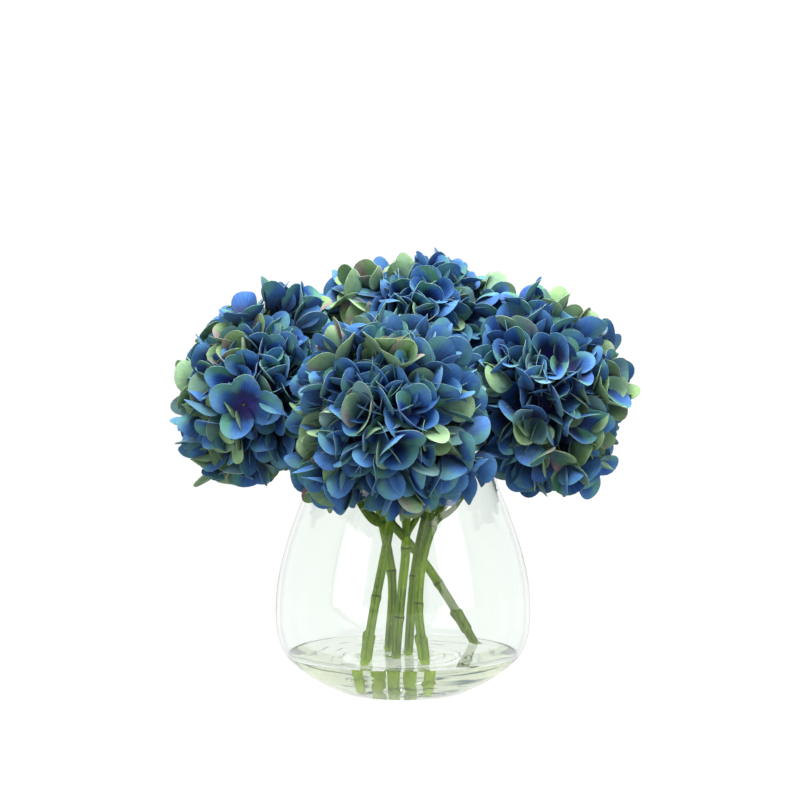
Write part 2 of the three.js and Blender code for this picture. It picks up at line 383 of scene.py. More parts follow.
def petal_cloth(colours):
    """Cloth petals: deep blue shading to green at one edge or green all over, with a pale cut edge, painted
    shade near the claw and a painted highlight towards the tip.
    """
    tree = Finish("petal_cloth")
    along, across, side = tree.attribute("place", "Vector").parts()
    chance, second, third = tree.attribute("petal_chance", "Vector").parts()
    greenness, lightness, blush = tree.attribute("floret_tint", "Vector").parts()
    place = tree.place()
    mottle = tree.noise(place, 190.0, 5.0)
    cloud = tree.noise(place, 42.0)
    drift = cloud - 0.5
    lean = across * (third - 0.5).math("SIGN")

    fan = across / (along + 0.2)
    vein_wave = (fan * 19.0 + cloud * 2.5).math("SINE")
    veins = vein_wave.ramp(0.6, 1.0) * along.ramp(0.1, 0.4)

    # Painted shade and highlight: the blue darkens towards the claw and lightens towards the tip, on top of a
    # random tone for each floret, petal and patch.
    depth = along.ramp(0.0, 1.0) * 1.1 + lightness * 0.4 + (chance - 0.5) * 0.6 + drift * 0.5 - 0.35
    blue = tree.mix((second + drift).ramp(0.3, 0.9), colours.blue, colours.royal)
    blue = tree.mix(depth.ramp(0.1, 0.8), colours.blue_deep, blue)
    blue = tree.mix(depth.ramp(0.75, 1.35), blue, colours.blue_light)
    fringe = (along * 0.6 + lean * 0.4 + abs(across) * 0.12 + drift * 0.5).ramp(0.4, 0.76)
    fringe = fringe * second.ramp(0.1, 0.4)

    green = tree.mix(along.ramp(0.1, 1.1) + drift * 1.4, colours.green_deep, colours.green)
    pink = (lean * 0.8 + along * 0.5 + drift).ramp(0.35, 1.0)
    green = tree.mix(pink * blush * 0.9, green, colours.blush)
    turned = (greenness + (chance - 0.5) * 1.15).ramp(0.4, 0.6)
    tint = tree.mix(turned, blue, green)
    tint = tree.mix(fringe * (1 - turned) * 0.95, tint, colours.fringe)
    throat = (1 - along.ramp(0.1, 0.45)) * (0.3 + blush * 0.4)
    tint = tree.mix(throat * (1 - turned * 0.6), tint, colours.throat)

    worn = side.ramp(-0.2, -0.6) * 0.3
    tint = tree.mix(worn, tint, tree.mix(turned, colours.underside_blue, colours.underside_green))
    tint = tree.mix(veins * (turned * 0.12 + 0.08), tint, colours.vein)
    rounding = (1 - across * across).math("MAXIMUM", 0.0) ** 0.5
    reach = along / (rounding * CAP + (1 - CAP))
    hem = reach.math("MAXIMUM", abs(across) * along.ramp(0.15, 0.4)).ramp(0.5, 1.0)
    lightened = tree.mix(turned, colours.blue_light, colours.cut_edge)
    tint = tree.mix(hem * hem * (third * 0.55), tint, lightened)
    cut = 1 - abs(side).ramp(0.9, 0.99)
    tint = tree.mix(cut * (0.15 + second.ramp(0.2, 0.9) * 0.55), tint, colours.cut_edge)
    tint = tree.mix(along.ramp(-0.3, -0.6), tint, colours.bead)
    tint = tree.brighten(tint, (mottle - 0.5) * 0.7 + 1.0)

    shader = tree.principled({
        "Base Color": tint,
        "Roughness": (mottle - 0.5) * 0.2 + 0.7,
        "Normal": tree.bump(veins * 0.4 + mottle, 0.0003, 0.4),
        "Specular IOR Level": 0.25,
        "Sheen Weight": 0.05,
        "Sheen Roughness": 0.4,
    })
    return tree.surface(shader)


def moulded_stalk(colours):
    """Satin moulded stalk with long fibres, a painted highlight on its ridges and painted shade between them,
    painted light where it stands in the pour, and dark in the groove of each joint.
    """
    tree = Finish("moulded_stalk")
    place = tree.place()
    x, y, z = place.parts()
    stretched = tree.add("ShaderNodeCombineXYZ", {"X": x * 3.0, "Y": y * 3.0, "Z": z * 0.25})
    fibres = tree.noise(stretched, 320.0, 3.0)
    patches = tree.noise(place, 38.0)
    joint = tree.attribute("joint")
    ridge = tree.attribute("ridge")
    tint = tree.mix(patches.ramp(0.3, 0.7), colours.green_deep, colours.green)
    tint = tree.mix(fibres.ramp(0.48, 0.7) * 0.6, tint, colours.fibres_and_ridge_sheen)
    # Painted shade in the grooves between the flutes, in the joint's dark green, and a painted highlight
    # along their ridges.
    tint = tree.mix((1 - ridge).ramp(0.7, 1.0) * 0.45, tint, colours.joint)
    tint = tree.mix(ridge * ridge * 0.4, tint, colours.fibres_and_ridge_sheen)
    # Painted light: the stalk is paler where it stands in the pour, as if lit from below through it.
    tint = tree.mix(z.ramp(0.032, 0.02) * 0.75, tint, colours.painted_pour_light)
    groove = 1 - abs(joint - 1.6 + patches).ramp(0.25, 0.9)
    tint = tree.mix(groove * 0.85, tint, colours.joint)
    speck = tree.noise(place, 260.0, 1.0).ramp(0.74, 0.78)
    tint = tree.mix(speck * 0.5, tint, colours.speck)
    shader = tree.principled({
        "Base Color": tint,
        "Roughness": fibres * 0.25 + 0.45,
        "Specular IOR Level": 0.2,
        "Normal": tree.bump(fibres, 0.0006, 0.8),
    })
    return tree.surface(shader)


# Glass and pour. Heights and widths are in metres here, as shaders have them.
REFRACTION = 1.5
GLASS_RIPPLE = 0.0001
POUR_RIPPLE = 0.0004
# How much painted shade greys the glass where it is seen edge-on. Below the first of these heights it greys
# by the lower share of that, and above the second by all of it.
EDGE_GREY = (0.36, 0.42, 0.4)
EDGE_STRENGTH = 0.3
EDGE_RISE = (0.02, 0.035)
EDGE_LOW = 0.3
# Painted shade: thin dark arcs round the floor, standing in for the dark lines that refraction draws there,
# which fade out with height
ARC_GREY = (0.4, 0.48, 0.5)
ARC_SPACING = 0.012
ARC_WIDTH = 0.0012
ARC_FADE = (0.02, 0.012)


def clear_cast(name, tint, through, ripple, edge):
    """Clear glass or resin with painted shade that greys it where it is seen edge-on and painted dark arcs
    low down, with no surface where the two are one.
    """
    tree = Finish(name)
    place = tree.place()
    x, y, z = place.parts()
    body = tree.principled({
        "Base Color": opaque(tint),
        "Roughness": 0.0,
        "IOR": REFRACTION,
        "Transmission Weight": 1.0,
        "Normal": tree.bump(tree.noise(place, 18.0, 1.0), ripple),
    })
    if edge:
        # Painted shade where the glass is seen edge-on
        facing = tree.add("ShaderNodeLayerWeight", {"Blend": 0.5}, output="Facing")
        height_share = z.ramp(*EDGE_RISE) * (1 - EDGE_LOW) + EDGE_LOW
        grey = facing.ramp(0.72, 1.0) * height_share * edge
        body = tree.blend(grey, body, tree.see_through(EDGE_GREY))
    # Painted shade: dark arcs round the floor
    radius = (x * x + y * y) ** 0.5 + tree.noise(place, 30.0) * 0.02
    arcs = abs(radius % ARC_SPACING - ARC_SPACING / 2).ramp(ARC_WIDTH, 0.0)
    arcs = arcs * tree.noise(place, 55.0, 0.0).ramp(0.48, 0.62) * z.ramp(*ARC_FADE)
    open_way = tree.blend(arcs, tree.see_through(through), tree.see_through(ARC_GREY))
    lamp = tree.add("ShaderNodeLightPath", output="Is Shadow Ray")
    joined = tree.attribute("joined").math("GREATER_THAN", 0.5)
    return tree.surface(tree.blend(lamp.math("MAXIMUM", joined), body, open_way))


# Mesh making
class Cloth:
    """Points, faces, marks and bake corners of a mesh that is still being put together."""

    def __init__(self):
        self.points = []
        self.faces = []
        self.corners = []
        self.creases = set()
        self.marks = {}

    def add(self, points, faces, corners=None, creases=(), **marks):
        """Adds a patch. Each mark holds one value for all its points or one for each of them."""
        start = len(self.points)
        self.points.extend(np.asarray(points).tolist())
        self.faces.extend(tuple(start + i for i in face) for face in faces)
        self.corners.extend(corners or [(0.0, 0.0)] * sum(len(face) for face in faces))
        self.creases.update(frozenset((start + a, start + b)) for a, b in creases)
        for name, values in marks.items():
            values = [values] * len(points) if isinstance(values, (int, float, tuple)) else values
            self.marks.setdefault(name, []).extend(np.asarray(values, float).tolist())

    def mesh(self, name, uv_name=None):
        mesh = bpy.data.meshes.new(name)
        mesh.from_pydata((np.array(self.points) * MM).tolist(), [], self.faces)
        mesh.shade_smooth()
        if uv_name:
            layer = mesh.uv_layers.new(name=uv_name)
            layer.uv.foreach_set("vector", np.array(self.corners, np.float32).ravel())
        for mark, values in self.marks.items():
            mark_points(mesh, mark, values)
        if self.creases:
            sharp = [frozenset(edge.vertices) in self.creases for edge in mesh.edges]
            mesh.attributes.new("sharp_edge", "BOOLEAN", "EDGE").data.foreach_set("value", sharp)
        face_outwards(mesh)
        return mesh


def mark_points(mesh, name, values):
    """Stores a vector, a whole number or a number for each point, whichever the values are."""
    values = np.asarray(values)
    whole = values.dtype.kind == "i"
    kind = "FLOAT_VECTOR" if values.ndim == 2 else "INT" if whole else "FLOAT"
    field = "vector" if values.ndim == 2 else "value"
    attribute = mesh.attributes.new(name, kind, "POINT")
    attribute.data.foreach_set(field, values.astype(np.int32 if whole else np.float32).ravel())


def face_outwards(mesh):
    work = bmesh.new()
    work.from_mesh(mesh)
    bmesh.ops.recalc_face_normals(work, faces=work.faces)
    work.to_mesh(mesh)
    work.free()


def grid_faces(rows, columns):
    """The quads of a grid of points that are counted row by row."""
    across = columns + 1
    starts = [row * across + column for row in range(rows) for column in range(columns)]
    return [(start, start + 1, start + across + 1, start + across) for start in starts]


def grid_border(rows, columns):
    """The grid's outer points in order, once round."""
    across = columns + 1
    near = list(range(columns))
    right = [row * across + columns for row in range(rows)]
    far = [rows * across + column for column in range(columns, 0, -1)]
    left = [row * across for row in range(rows, 0, -1)]
    return near + right + far + left


def ring_turns(sides):
    return FULL_TURN * np.arange(sides) / sides


def ring_faces(rings, sides):
    """The faces of a closed body of rings, whose two end points are counted after them."""
    pairs = [(side, (side + 1) % sides) for side in range(sides)]
    last = (rings - 1) * sides
    starts = range(0, last, sides)
    faces = [(low + a, low + b, low + b + sides, low + a + sides) for low in starts for a, b in pairs]
    for a, b in pairs:
        faces.append((rings * sides, b, a))
        faces.append((rings * sides + 1, last + a, last + b))
    return faces


def lathe(profile, sides):
    """Points and faces of a closed turned solid, from a profile that starts and ends on the axis."""
    turns = ring_turns(sides)
    ring = np.stack([np.cos(turns), np.sin(turns), np.zeros(sides)], axis=1)
    rings = [ring * radius + UP * height for radius, height in profile[1:-1]]
    ends = [UP * profile[0][1], UP * profile[-1][1]]
    return np.concatenate([*rings, ends]), ring_faces(len(rings), sides)


def at_corners(faces, spots):
    """Points' spots on the bake map, listed corner by corner."""
    return [tuple(spots[i]) for face in faces for i in face]


def crossed(start, end, now, low, high):
    """Where a move from start at low to end at high has got to now."""
    return start + (end - start) * (now - low) / (high - low)


def rounded(points, steps):
    """A smooth line through the points, with a number of steps between each two of them."""
    points = np.asarray(points, float)
    ends = np.concatenate([[2 * points[0] - points[1]], points, [2 * points[-1] - points[-2]]])
    line = []
    for i in range(1, len(ends) - 2):
        a, b, c, d = ends[i - 1 : i + 3]
        # The knots step by the root of the distance between points, so that the line never loops
        roots = [np.linalg.norm(after - before) ** 0.5 for before, after in ((a, b), (b, c), (c, d))]
        k0, k1, k2, k3 = np.cumsum([0, *roots])
        last = i == len(ends) - 3
        for now in np.linspace(k1, k2, steps + 1)[: None if last else -1]:
            ab = crossed(a, b, now, k0, k1)
            bc = crossed(b, c, now, k1, k2)
            cd = crossed(c, d, now, k2, k3)
            abc = crossed(ab, bc, now, k0, k2)
            bcd = crossed(bc, cd, now, k1, k3)
            line.append(crossed(abc, bcd, now, k1, k2))
    return np.array(line)


def evenly(line, count):
    """A line's points, spaced evenly along it, and how far along each one lies."""
    reach = np.concatenate([[0], np.cumsum(np.linalg.norm(np.diff(line, axis=0), axis=1))])
    spots = np.linspace(0, reach[-1], count)
    return np.stack([np.interp(spots, reach, line[:, k]) for k in range(3)], axis=1), spots


# Directions that no stalk runs along, to work out what lies sideways of one
TUBE_ASKEW = (0.35, 0.94, 0.1)
TWIG_ASKEW = (0.1, 1.0, 0.1)


def tube(line, radii, sides):
    """Points and faces of a closed tube round a line, with a radius at each point, or one for each side."""
    ahead = unit(np.gradient(line, axis=0))
    sideways = unit(np.cross(ahead[0], TUBE_ASKEW))
    turns = ring_turns(sides)
    rings = []
    for centre, along, reach in zip(line, ahead, radii):
        sideways = unit(sideways - along * (sideways @ along))
        upright = np.cross(along, sideways)
        ring = np.outer(np.cos(turns), sideways) + np.outer(np.sin(turns), upright)
        rings.append(centre + ring * np.reshape(reach, (-1, 1)))
    return np.concatenate([*rings, line[[0, -1]]]), ring_faces(len(rings), sides)


def add_object(name, mesh, material):
    piece = bpy.data.objects.new(name, mesh)
    bpy.context.scene.collection.objects.link(piece)
    mesh.materials.clear()
    mesh.materials.append(material)
    return piece


def dress(piece, slot, *nodes):
    """Seats a finished piece on the body and hides the solids it stands for."""
    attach(piece, ROOT_BODY)
    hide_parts(*nodes)


# Where the florets sit
Layer = namedtuple("Layer", "share lowest turn reach fine")
LAYERS = (
    Layer(share=1.0, lowest=-0.75, turn=0.0, reach=0.965, fine=True),
    Layer(share=0.34, lowest=-0.45, turn=1.7, reach=0.84, fine=False),
    Layer(share=0.14, lowest=-0.4, turn=3.1, reach=0.62, fine=False),
)
PLAIN_KINDS = 3
HEAD_SEED_STEP = 10
# A floret's middle is this far from its seat and stays this far from the glass, so petals only brush it
FLORET_MIDDLE = 8
FLORET_ROOM = 9.5
# Below this cosine a direction runs alongside a neighbour and isn't held back. Florets held back to less
# than this share of their reach are plain ones.
GRAZING = 0.01
PRESSED_SHARE = 0.86
# How much of the splay moves the seats, and the cosines from the parting spot over which seats and facings
# part and florets close
SEAT_SPLAY = 0.45
SEAT_COSINES = (0, 0.7)
FACING_COSINES = (-0.2, 0.5)
CLOSING_COSINES = (0.6, 0.95)
# The cosines from a neighbour over which it crowds florets, and how far crowding closes them, at the parting
# spot as a share of a neighbour's and in all
CROWDED_COSINES = (0.25, 0.75)
PARTING_CLOSES = 0.7
CROWDING_CLOSES = 0.5
# What florets draw by chance
REACHES = (0.95, 1.02)
SIZES = (0.84, 1.12)
OPENNESS_SPREAD = 0.24
OPENNESS_MOST = 0.82
OUTLYING_OPENNESS = (0.1, 0.5)
BLUSH_CHANCE = 0.45
# A floret's tint is taken this far out from its seat. Those that the front view doesn't reach, behind this
# depth or facing away by more than this, are green by chance.
TINT_REACH = 12
FRONT_DEPTH = 70
FRONT_FACING = 0.25
HIDDEN_GREEN_CHANCE = 0.3
HIDDEN_GREEN = 0.9


def dome_reach(bloom, directions):
    """How far a head's dome reaches from its centre in each direction."""
    rise = directions @ unit(bloom.faces)
    height = np.where(rise > 0, DOME_UP, DOME_DOWN)
    reach = 1 / np.sqrt((1 - rise**2) / bloom.radius**2 + rise**2 / height**2)
    bearing = np.degrees(np.arctan2(directions[:, 2], directions[:, 0]))
    sideways = 1 - directions[:, 1] ** 2
    for at, width, swell in bloom.swells:
        off = (bearing - at + 180) % 360 - 180
        reach = reach + swell * sideways * np.exp(-((off / width) ** 2))
    return reach


def pressed_sides(bloom):
    """The planes where neighbouring heads press on this one, as direction and distance from its centre."""
    sides = []
    for other in BLOOMS.values():
        if other is bloom:
            continue
        between = np.subtract(other.centre, bloom.centre)
        distance = np.linalg.norm(between)
        towards = between / distance
        own = dome_reach(bloom, towards[None])[0]
        others = dome_reach(other, -towards[None])[0]
        if own + others + PRESS_MARGIN > distance:
            sides.append((towards, distance * own / (own + others)))
    return sides


def pressed_reach(bloom, directions):
    """The same reach, held back where a neighbour presses."""
    reach = dome_reach(bloom, directions)
    for towards, distance in pressed_sides(bloom):
        share = directions @ towards
        held = np.minimum(reach, distance / np.maximum(share, GRAZING))
        reach = np.where(share > GRAZING, held, reach)
    return reach


def crowding(bloom, directions):
    """How much the neighbouring heads crowd each direction, from nought to one."""
    shares = [directions @ towards for towards, _ in pressed_sides(bloom)]
    return smooth(np.max(shares, axis=0), *CROWDED_COSINES)


def spiral(count, lowest, up, turn):
    """Directions spread evenly over a dome, from its top down to the lowest rise."""
    rise = 1 - (np.arange(count) + 0.5) / count * (1 - lowest)
    out = np.sqrt(1 - rise**2)
    angle = np.arange(count) * GOLDEN_ANGLE + turn
    right = unit(np.cross(UP, up))
    ahead = np.cross(up, right)
    return np.outer(rise, up) + np.outer(out * np.cos(angle), right) + np.outer(out * np.sin(angle), ahead)


def clear_of_glass(points, room):
    """Whether each point is further than that from the middle of the vase's wall and from its rim."""
    radii, levels = zip(*OUTER_WALL, (RIM_RADIUS, VASE_HEIGHT))
    wall = np.interp(points[:, 2], levels, radii) - HALF_WALL
    away = np.abs(np.hypot(points[:, 0], points[:, 1]) - wall)
    above = points[:, 2] - VASE_HEIGHT
    return np.where(above > 0, np.hypot(above, away), away) > room


def floret_height(settings, openness):
    """How far a floret stands above its seat: a closed cup stands tall and an open one lies flat."""
    rise = np.radians(STANDING_RISE - WIDE_OPEN * openness)
    return settings.petal_length / MM * np.sin(rise)


def kind_of(openness, settings):
    """The number of the floret shape that opens that far."""
    return np.floor(openness * settings.kinds).astype(int)


def floret_seats(name, settings):
    """Place, facing, spin, size, kind and tint of each floret of a head, as arrays."""
    bloom = BLOOMS[name]
    chance = np.random.default_rng(settings.seed + HEAD_SEED_STEP * list(BLOOMS).index(name))
    groups = [layer_seats(bloom, layer, settings, chance) for layer in LAYERS]
    for tip in bloom.outlying:
        facing = unit(np.subtract(tip, bloom.centre))[None]
        openness = chance.uniform(*OUTLYING_OPENNESS, 1)
        base = np.array(tip) - facing * floret_height(settings, openness)
        groups.append(chosen_seats(base, facing, kind_of(openness, settings), chance))
    seats = {label: np.concatenate([group[label] for group in groups]) for label in groups[0]}
    kept = clear_of_glass(seats["points"] + seats["facing"] * FLORET_MIDDLE, FLORET_ROOM)
    seats = {label: values[kept] for label, values in seats.items()}
    return {**seats, "floret": np.arange(kept.sum(), dtype=float)}


def layer_seats(bloom, layer, settings, chance):
    """The seats of one layer of a head, which part from one spot and close up where neighbours press."""
    count = round(settings.florets * layer.share * (bloom.radius / LARGE_RADIUS) ** 2)
    directions = spiral(count, layer.lowest, unit(bloom.faces), layer.turn)
    parting = unit(bloom.parting)
    drawn = parting * (settings.splay * SEAT_SPLAY * smooth(directions @ parting, *SEAT_COSINES))[:, None]
    directions = unit(directions + drawn + chance.normal(0, settings.scatter, (count, 3)))
    reach = pressed_reach(bloom, directions) * layer.reach * chance.uniform(*REACHES, count)
    centred = directions @ parting
    splay = parting * (settings.splay * smooth(centred, *FACING_COSINES))[:, None]
    facing = unit(directions - splay + chance.normal(0, settings.tilt, (count, 3)))
    crowded = np.maximum(crowding(bloom, directions), PARTING_CLOSES * smooth(centred, *CLOSING_COSINES))
    openness = bloom.openness - CROWDING_CLOSES * crowded + chance.normal(0, OPENNESS_SPREAD, count)
    openness = np.clip(openness, 0, OPENNESS_MOST)
    bases = reach - floret_height(settings, openness)
    pressed = reach < PRESSED_SHARE * layer.reach * dome_reach(bloom, directions)
    plain = pressed | (not layer.fine)
    plain_kind = settings.kinds + chance.integers(0, PLAIN_KINDS, count)
    kind = np.where(plain, plain_kind, kind_of(openness, settings))
    return chosen_seats(np.array(bloom.centre) + directions * bases[:, None], facing, kind, chance)


def chosen_seats(points, facing, kind, chance):
    """Seats with a spin, a size and a tint for each."""
    count = len(points)
    green = np.array([green_share(*seat) for seat in zip(points + facing * TINT_REACH, facing)])
    hidden_green = (chance.random(count) < HIDDEN_GREEN_CHANCE) * HIDDEN_GREEN
    green = np.where(np.isnan(green), hidden_green, green)
    tint = np.stack([green, chance.uniform(0, 1, count), chance.random(count) < BLUSH_CHANCE], axis=1)
    return {
        "points": points,
        "facing": facing,
        "spin": chance.uniform(0, FULL_TURN, count),
        "size": chance.uniform(*SIZES, count),
        "kind": kind,
        "floret_tint": tint,
    }


def green_share(point, facing):
    """How green a floret is where the front view shows it, or not a number where that view doesn't reach."""
    if facing[1] > FRONT_FACING or point[1] > FRONT_DEPTH:
        return math.nan
    nearest = min(math.hypot(point[0] - x, point[2] - z) for x, z in GREEN_PATCHES)
    return float(np.interp(nearest, GREEN_FADE, (1.0, 0.0)))


# One floret. A petal's rise in degrees when it is closed, as drawn and as reckoned for its floret's height,
# and how many fewer it rises when it is wide open.
PETALS = 4
CLOSED_RISE = 76
STANDING_RISE = 70
WIDE_OPEN = 52
# A petal's round cap as a share of its length, and its narrow claw as a share of its width
CAP = 0.46
CLAW = 0.15
PetalForm = namedtuple("PetalForm", "length width thickness base_rise tip_rise curl cup wave phase twist")
Grid = namedtuple("Grid", "rows columns")
FINE_PETAL = Grid(6, 10)
PLAIN_PETAL = Grid(3, 6)
MIDDLE_STEPS = 60
# Shares of a petal's length where it stops steepening and where it starts to curl, how far out from its
# floret's axis it starts, and how far every other petal is lifted over the next
RISE_END = 0.4
CURL_START = 0.45
CLAW_OUT = 0.8
PETAL_LIFT = 0.6
# What each petal draws by chance, in this order. Lean, drop and curl are in degrees, the wave is in
# millimetres, phase and turn are in radians, and the others are shares.
PETAL_DRAWS = {
    "lean": (-16, 14),
    "length": (0.86, 1.08),
    "width": (0.88, 1.12),
    "base_drop": (20, 42),
    "curl": (-20, 12),
    "cup": (0.14, 0.42),
    "wave": (0.3, 1.4),
    "phase": (0, FULL_TURN),
    "twist": (-0.32, 0.32),
    "turn": (-0.3, 0.3),
}
# How much more petals curl for each degree that they open, and how much less a closed floret's are cupped
OPEN_CURL = 0.35
CLOSED_CUP = 0.12
# How much narrower a closed floret is across one bearing, and how far any floret leans along the other
SQUEEZES = (0.15, 0.55)
FLORET_LEANS = (-0.3, 0.3)
# Each petal has a column of its floret's cell on the bake map, with its underside below and its upper side
# above. Its rim lies in a strip between them, and the bead's strip runs along the top.
BAKE_MARGIN = 0.04
BAKE_PETAL = 0.43
BAKE_UNDER = 0.01
BAKE_RIM = (0.46, 0.5)
BAKE_UPPER = 0.53
BAKE_BEAD = 0.97
BEAD_RADIUS = 1.3
BEAD_HEIGHT = 1.8
BEAD_SIDES = 7


def petal_outline(grid):
    """How far along and how far across each point of a petal's grid lies, and half the width there."""
    across = np.sin(np.linspace(-math.pi / 2, math.pi / 2, grid.columns + 1))
    share, across = np.meshgrid(np.linspace(0, 1, grid.rows + 1), across, indexing="ij")
    along = share * (1 - CAP + CAP * np.sqrt(1 - across**2))
    half = CLAW + (1 - CLAW) * np.sin(share * math.pi / 2) ** 0.85
    return along, across, half


def petal_surface(form, grid):
    """The middle surface of a petal that leaves the floret's centre along +X and rises, as a grid."""
    along, across, half = petal_outline(grid)
    fine = np.linspace(0, 1, MIDDLE_STEPS + 1)
    rise = form.base_rise + (form.tip_rise - form.base_rise) * np.clip(fine / RISE_END, 0, 1) ** 0.8
    rise = np.radians(rise - form.curl * np.clip((fine - CURL_START) / (1 - CURL_START), 0, 1) ** 1.7)
    middle = (rise[1:] + rise[:-1]) / 2
    out = np.concatenate([[0], np.cumsum(np.cos(middle))]) * form.length / MIDDLE_STEPS + CLAW_OUT
    height = np.concatenate([[0], np.cumsum(np.sin(middle))]) * form.length / MIDDLE_STEPS
    angle = np.interp(along, fine, rise)
    half = half * form.width / 2
    lift = form.cup * across**2 * half + form.twist * across * half * along
    lift = lift + form.wave * np.sin(2.6 * across + form.phase + 3 * along) * along
    x = np.interp(along, fine, out) - np.sin(angle) * lift
    z = np.interp(along, fine, height) + np.cos(angle) * lift
    return np.stack([x, across * half, z], axis=2), along, across


def bake_column(number, share):
    """How far along a floret's cell of the bake map a share of a petal's column lies."""
    return (number + BAKE_MARGIN + (1 - 2 * BAKE_MARGIN) * share) / PETALS


def add_petal(cloth, form, grid, number, turn):
    """Adds one petal as a closed sheet, turned about its floret's axis."""
    surface, along, across = petal_surface(form, grid)
    slope = unit(np.cross(np.gradient(surface, axis=0), np.gradient(surface, axis=1)))
    rows = np.linspace(0, 1, grid.rows + 1)[:, None]
    thinned = np.sqrt(1.15 - np.maximum(np.abs(across), rows) ** 6)[..., None] * form.thickness / 2
    cosine, sine = math.cos(turn), math.sin(turn)
    spin = np.array([[cosine, -sine, 0], [sine, cosine, 0], [0, 0, 1]])
    lift = UP * PETAL_LIFT * (number % 2)
    sides = [(surface + slope * thinned * sign).reshape(-1, 3) @ spin.T + lift for sign in (1, -1)]
    count = len(sides[0])
    upper = grid_faces(*grid)
    under = [face[::-1] for face in upper]
    border = grid_border(*grid)
    edges = list(zip(border, border[1:] + border[:1]))
    rim = [(a, b, count + b, count + a) for a, b in edges]
    creases = edges + [(count + a, count + b) for a, b in edges]
    u, v = bake_column(number, (across.ravel() + 1) / 2), BAKE_PETAL * along.ravel()
    spots = at_corners(upper, np.stack([u, BAKE_UPPER + v], axis=1))
    spots += at_corners(under, np.stack([u, BAKE_UNDER + v], axis=1))
    low, high = BAKE_RIM
    for i in range(len(rim)):
        near, far = bake_column(number, i / len(rim)), bake_column(number, (i + 1) / len(rim))
        spots += [(near, low), (far, low), (far, high), (near, high)]
    place = np.stack([along.ravel(), across.ravel(), np.ones(count)], axis=1)
    place = np.concatenate([place, place * [1, 1, -1]])
    faces = upper + [tuple(count + i for i in face) for face in under] + rim
    cloth.add(np.concatenate(sides), faces, spots, creases, place=place, petal=number)


def add_bead(cloth):
    """Adds the little bead in the throat of a floret."""
    rises = [(math.cos(level), math.sin(level)) for level in np.radians([-90, -35, 15, 55, 90])]
    profile = [(BEAD_RADIUS * out, BEAD_HEIGHT + BEAD_RADIUS * up) for out, up in rises]
    points, faces = lathe(profile, BEAD_SIDES)
    turn = np.arctan2(points[:, 1], points[:, 0]) / FULL_TURN + 0.5
    height = (points[:, 2] - BEAD_HEIGHT + BEAD_RADIUS) / BEAD_RADIUS
    spots = np.stack([0.02 + 0.96 * turn, BAKE_BEAD + 0.015 * height], axis=1)
    cloth.add(points, faces, at_corners(faces, spots), place=(-1.0, 0.0, 1.0), petal=PETALS)


def make_floret(settings, number, opening, grid, chance):
    """One floret that opens along +Z, with its own set of petals, squeezed narrower where it is closed."""
    cloth = Cloth()
    closed = 1 - opening / WIDE_OPEN
    for petal in range(PETALS):
        drawn = {name: chance.uniform(*limits) for name, limits in PETAL_DRAWS.items()}
        steep = CLOSED_RISE + drawn["lean"] - opening
        form = PetalForm(
            length=settings.petal_length / MM * drawn["length"],
            width=settings.petal_width / MM * drawn["width"],
            thickness=settings.petal_thickness / MM,
            base_rise=steep - drawn["base_drop"],
            tip_rise=steep,
            curl=drawn["curl"] + opening * OPEN_CURL,
            cup=drawn["cup"] - CLOSED_CUP * closed,
            wave=drawn["wave"],
            phase=drawn["phase"],
            twist=drawn["twist"],
        )
        add_petal(cloth, form, grid, petal, petal * math.pi / 2 + drawn["turn"])
    add_bead(cloth)
    narrowed = 1 - closed * chance.uniform(*SQUEEZES)
    squeeze(cloth, narrowed, chance.uniform(0, math.pi), chance.uniform(*FLORET_LEANS))
    name = f"floret_{number:02d}"
    return bpy.data.objects.new(name, cloth.mesh(name, "FloretUV"))


def squeeze(cloth, share, bearing, lean):
    """Narrows a floret to that share across one bearing and leans it along the other."""
    narrow = np.array([math.cos(bearing), math.sin(bearing), 0])
    along = np.array([-narrow[1], narrow[0], 0])
    points = np.array(cloth.points)
    points += np.outer(points @ narrow * (share - 1), narrow) + np.outer(points @ UP * lean, along)
    cloth.points = points.tolist()


CORE_REACH = 0.5
CORE_SIDES = 20
CORE_LEVELS = 10


def make_core(bloom, florets):
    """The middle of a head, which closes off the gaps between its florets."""
    turns = np.linspace(-math.pi / 2, math.pi / 2, CORE_LEVELS + 1)
    points, faces = lathe([(math.cos(a), math.sin(a)) for a in turns], CORE_SIDES)
    directions = unit(points)
    bumps = 1 + 0.06 * np.sin(directions @ [9, 5, 7]) * np.sin(directions @ [-6, 8, 5])
    reach = pressed_reach(bloom, directions) * CORE_REACH * bumps
    x, y, z = directions.T
    spots = np.stack([0.5 + 0.45 * x, 0.5 + 0.45 * y * np.where(z > 0, 1, 0.5)], axis=1)
    cloth = Cloth()
    cloth.add(
        np.array(bloom.centre) + directions * reach[:, None],
        faces,
        at_corners(faces, spots),
        place=(0.0, 0.0, 1.0),
        petal=0,
        floret=florets,
        # A tint of minus one keeps the core blue and at its darkest: painted shade inside the head.
        floret_tint=(-1.0, -1.0, 0.0),
    )
    return bpy.data.objects.new("core", cloth.mesh("core", "FloretUV"))


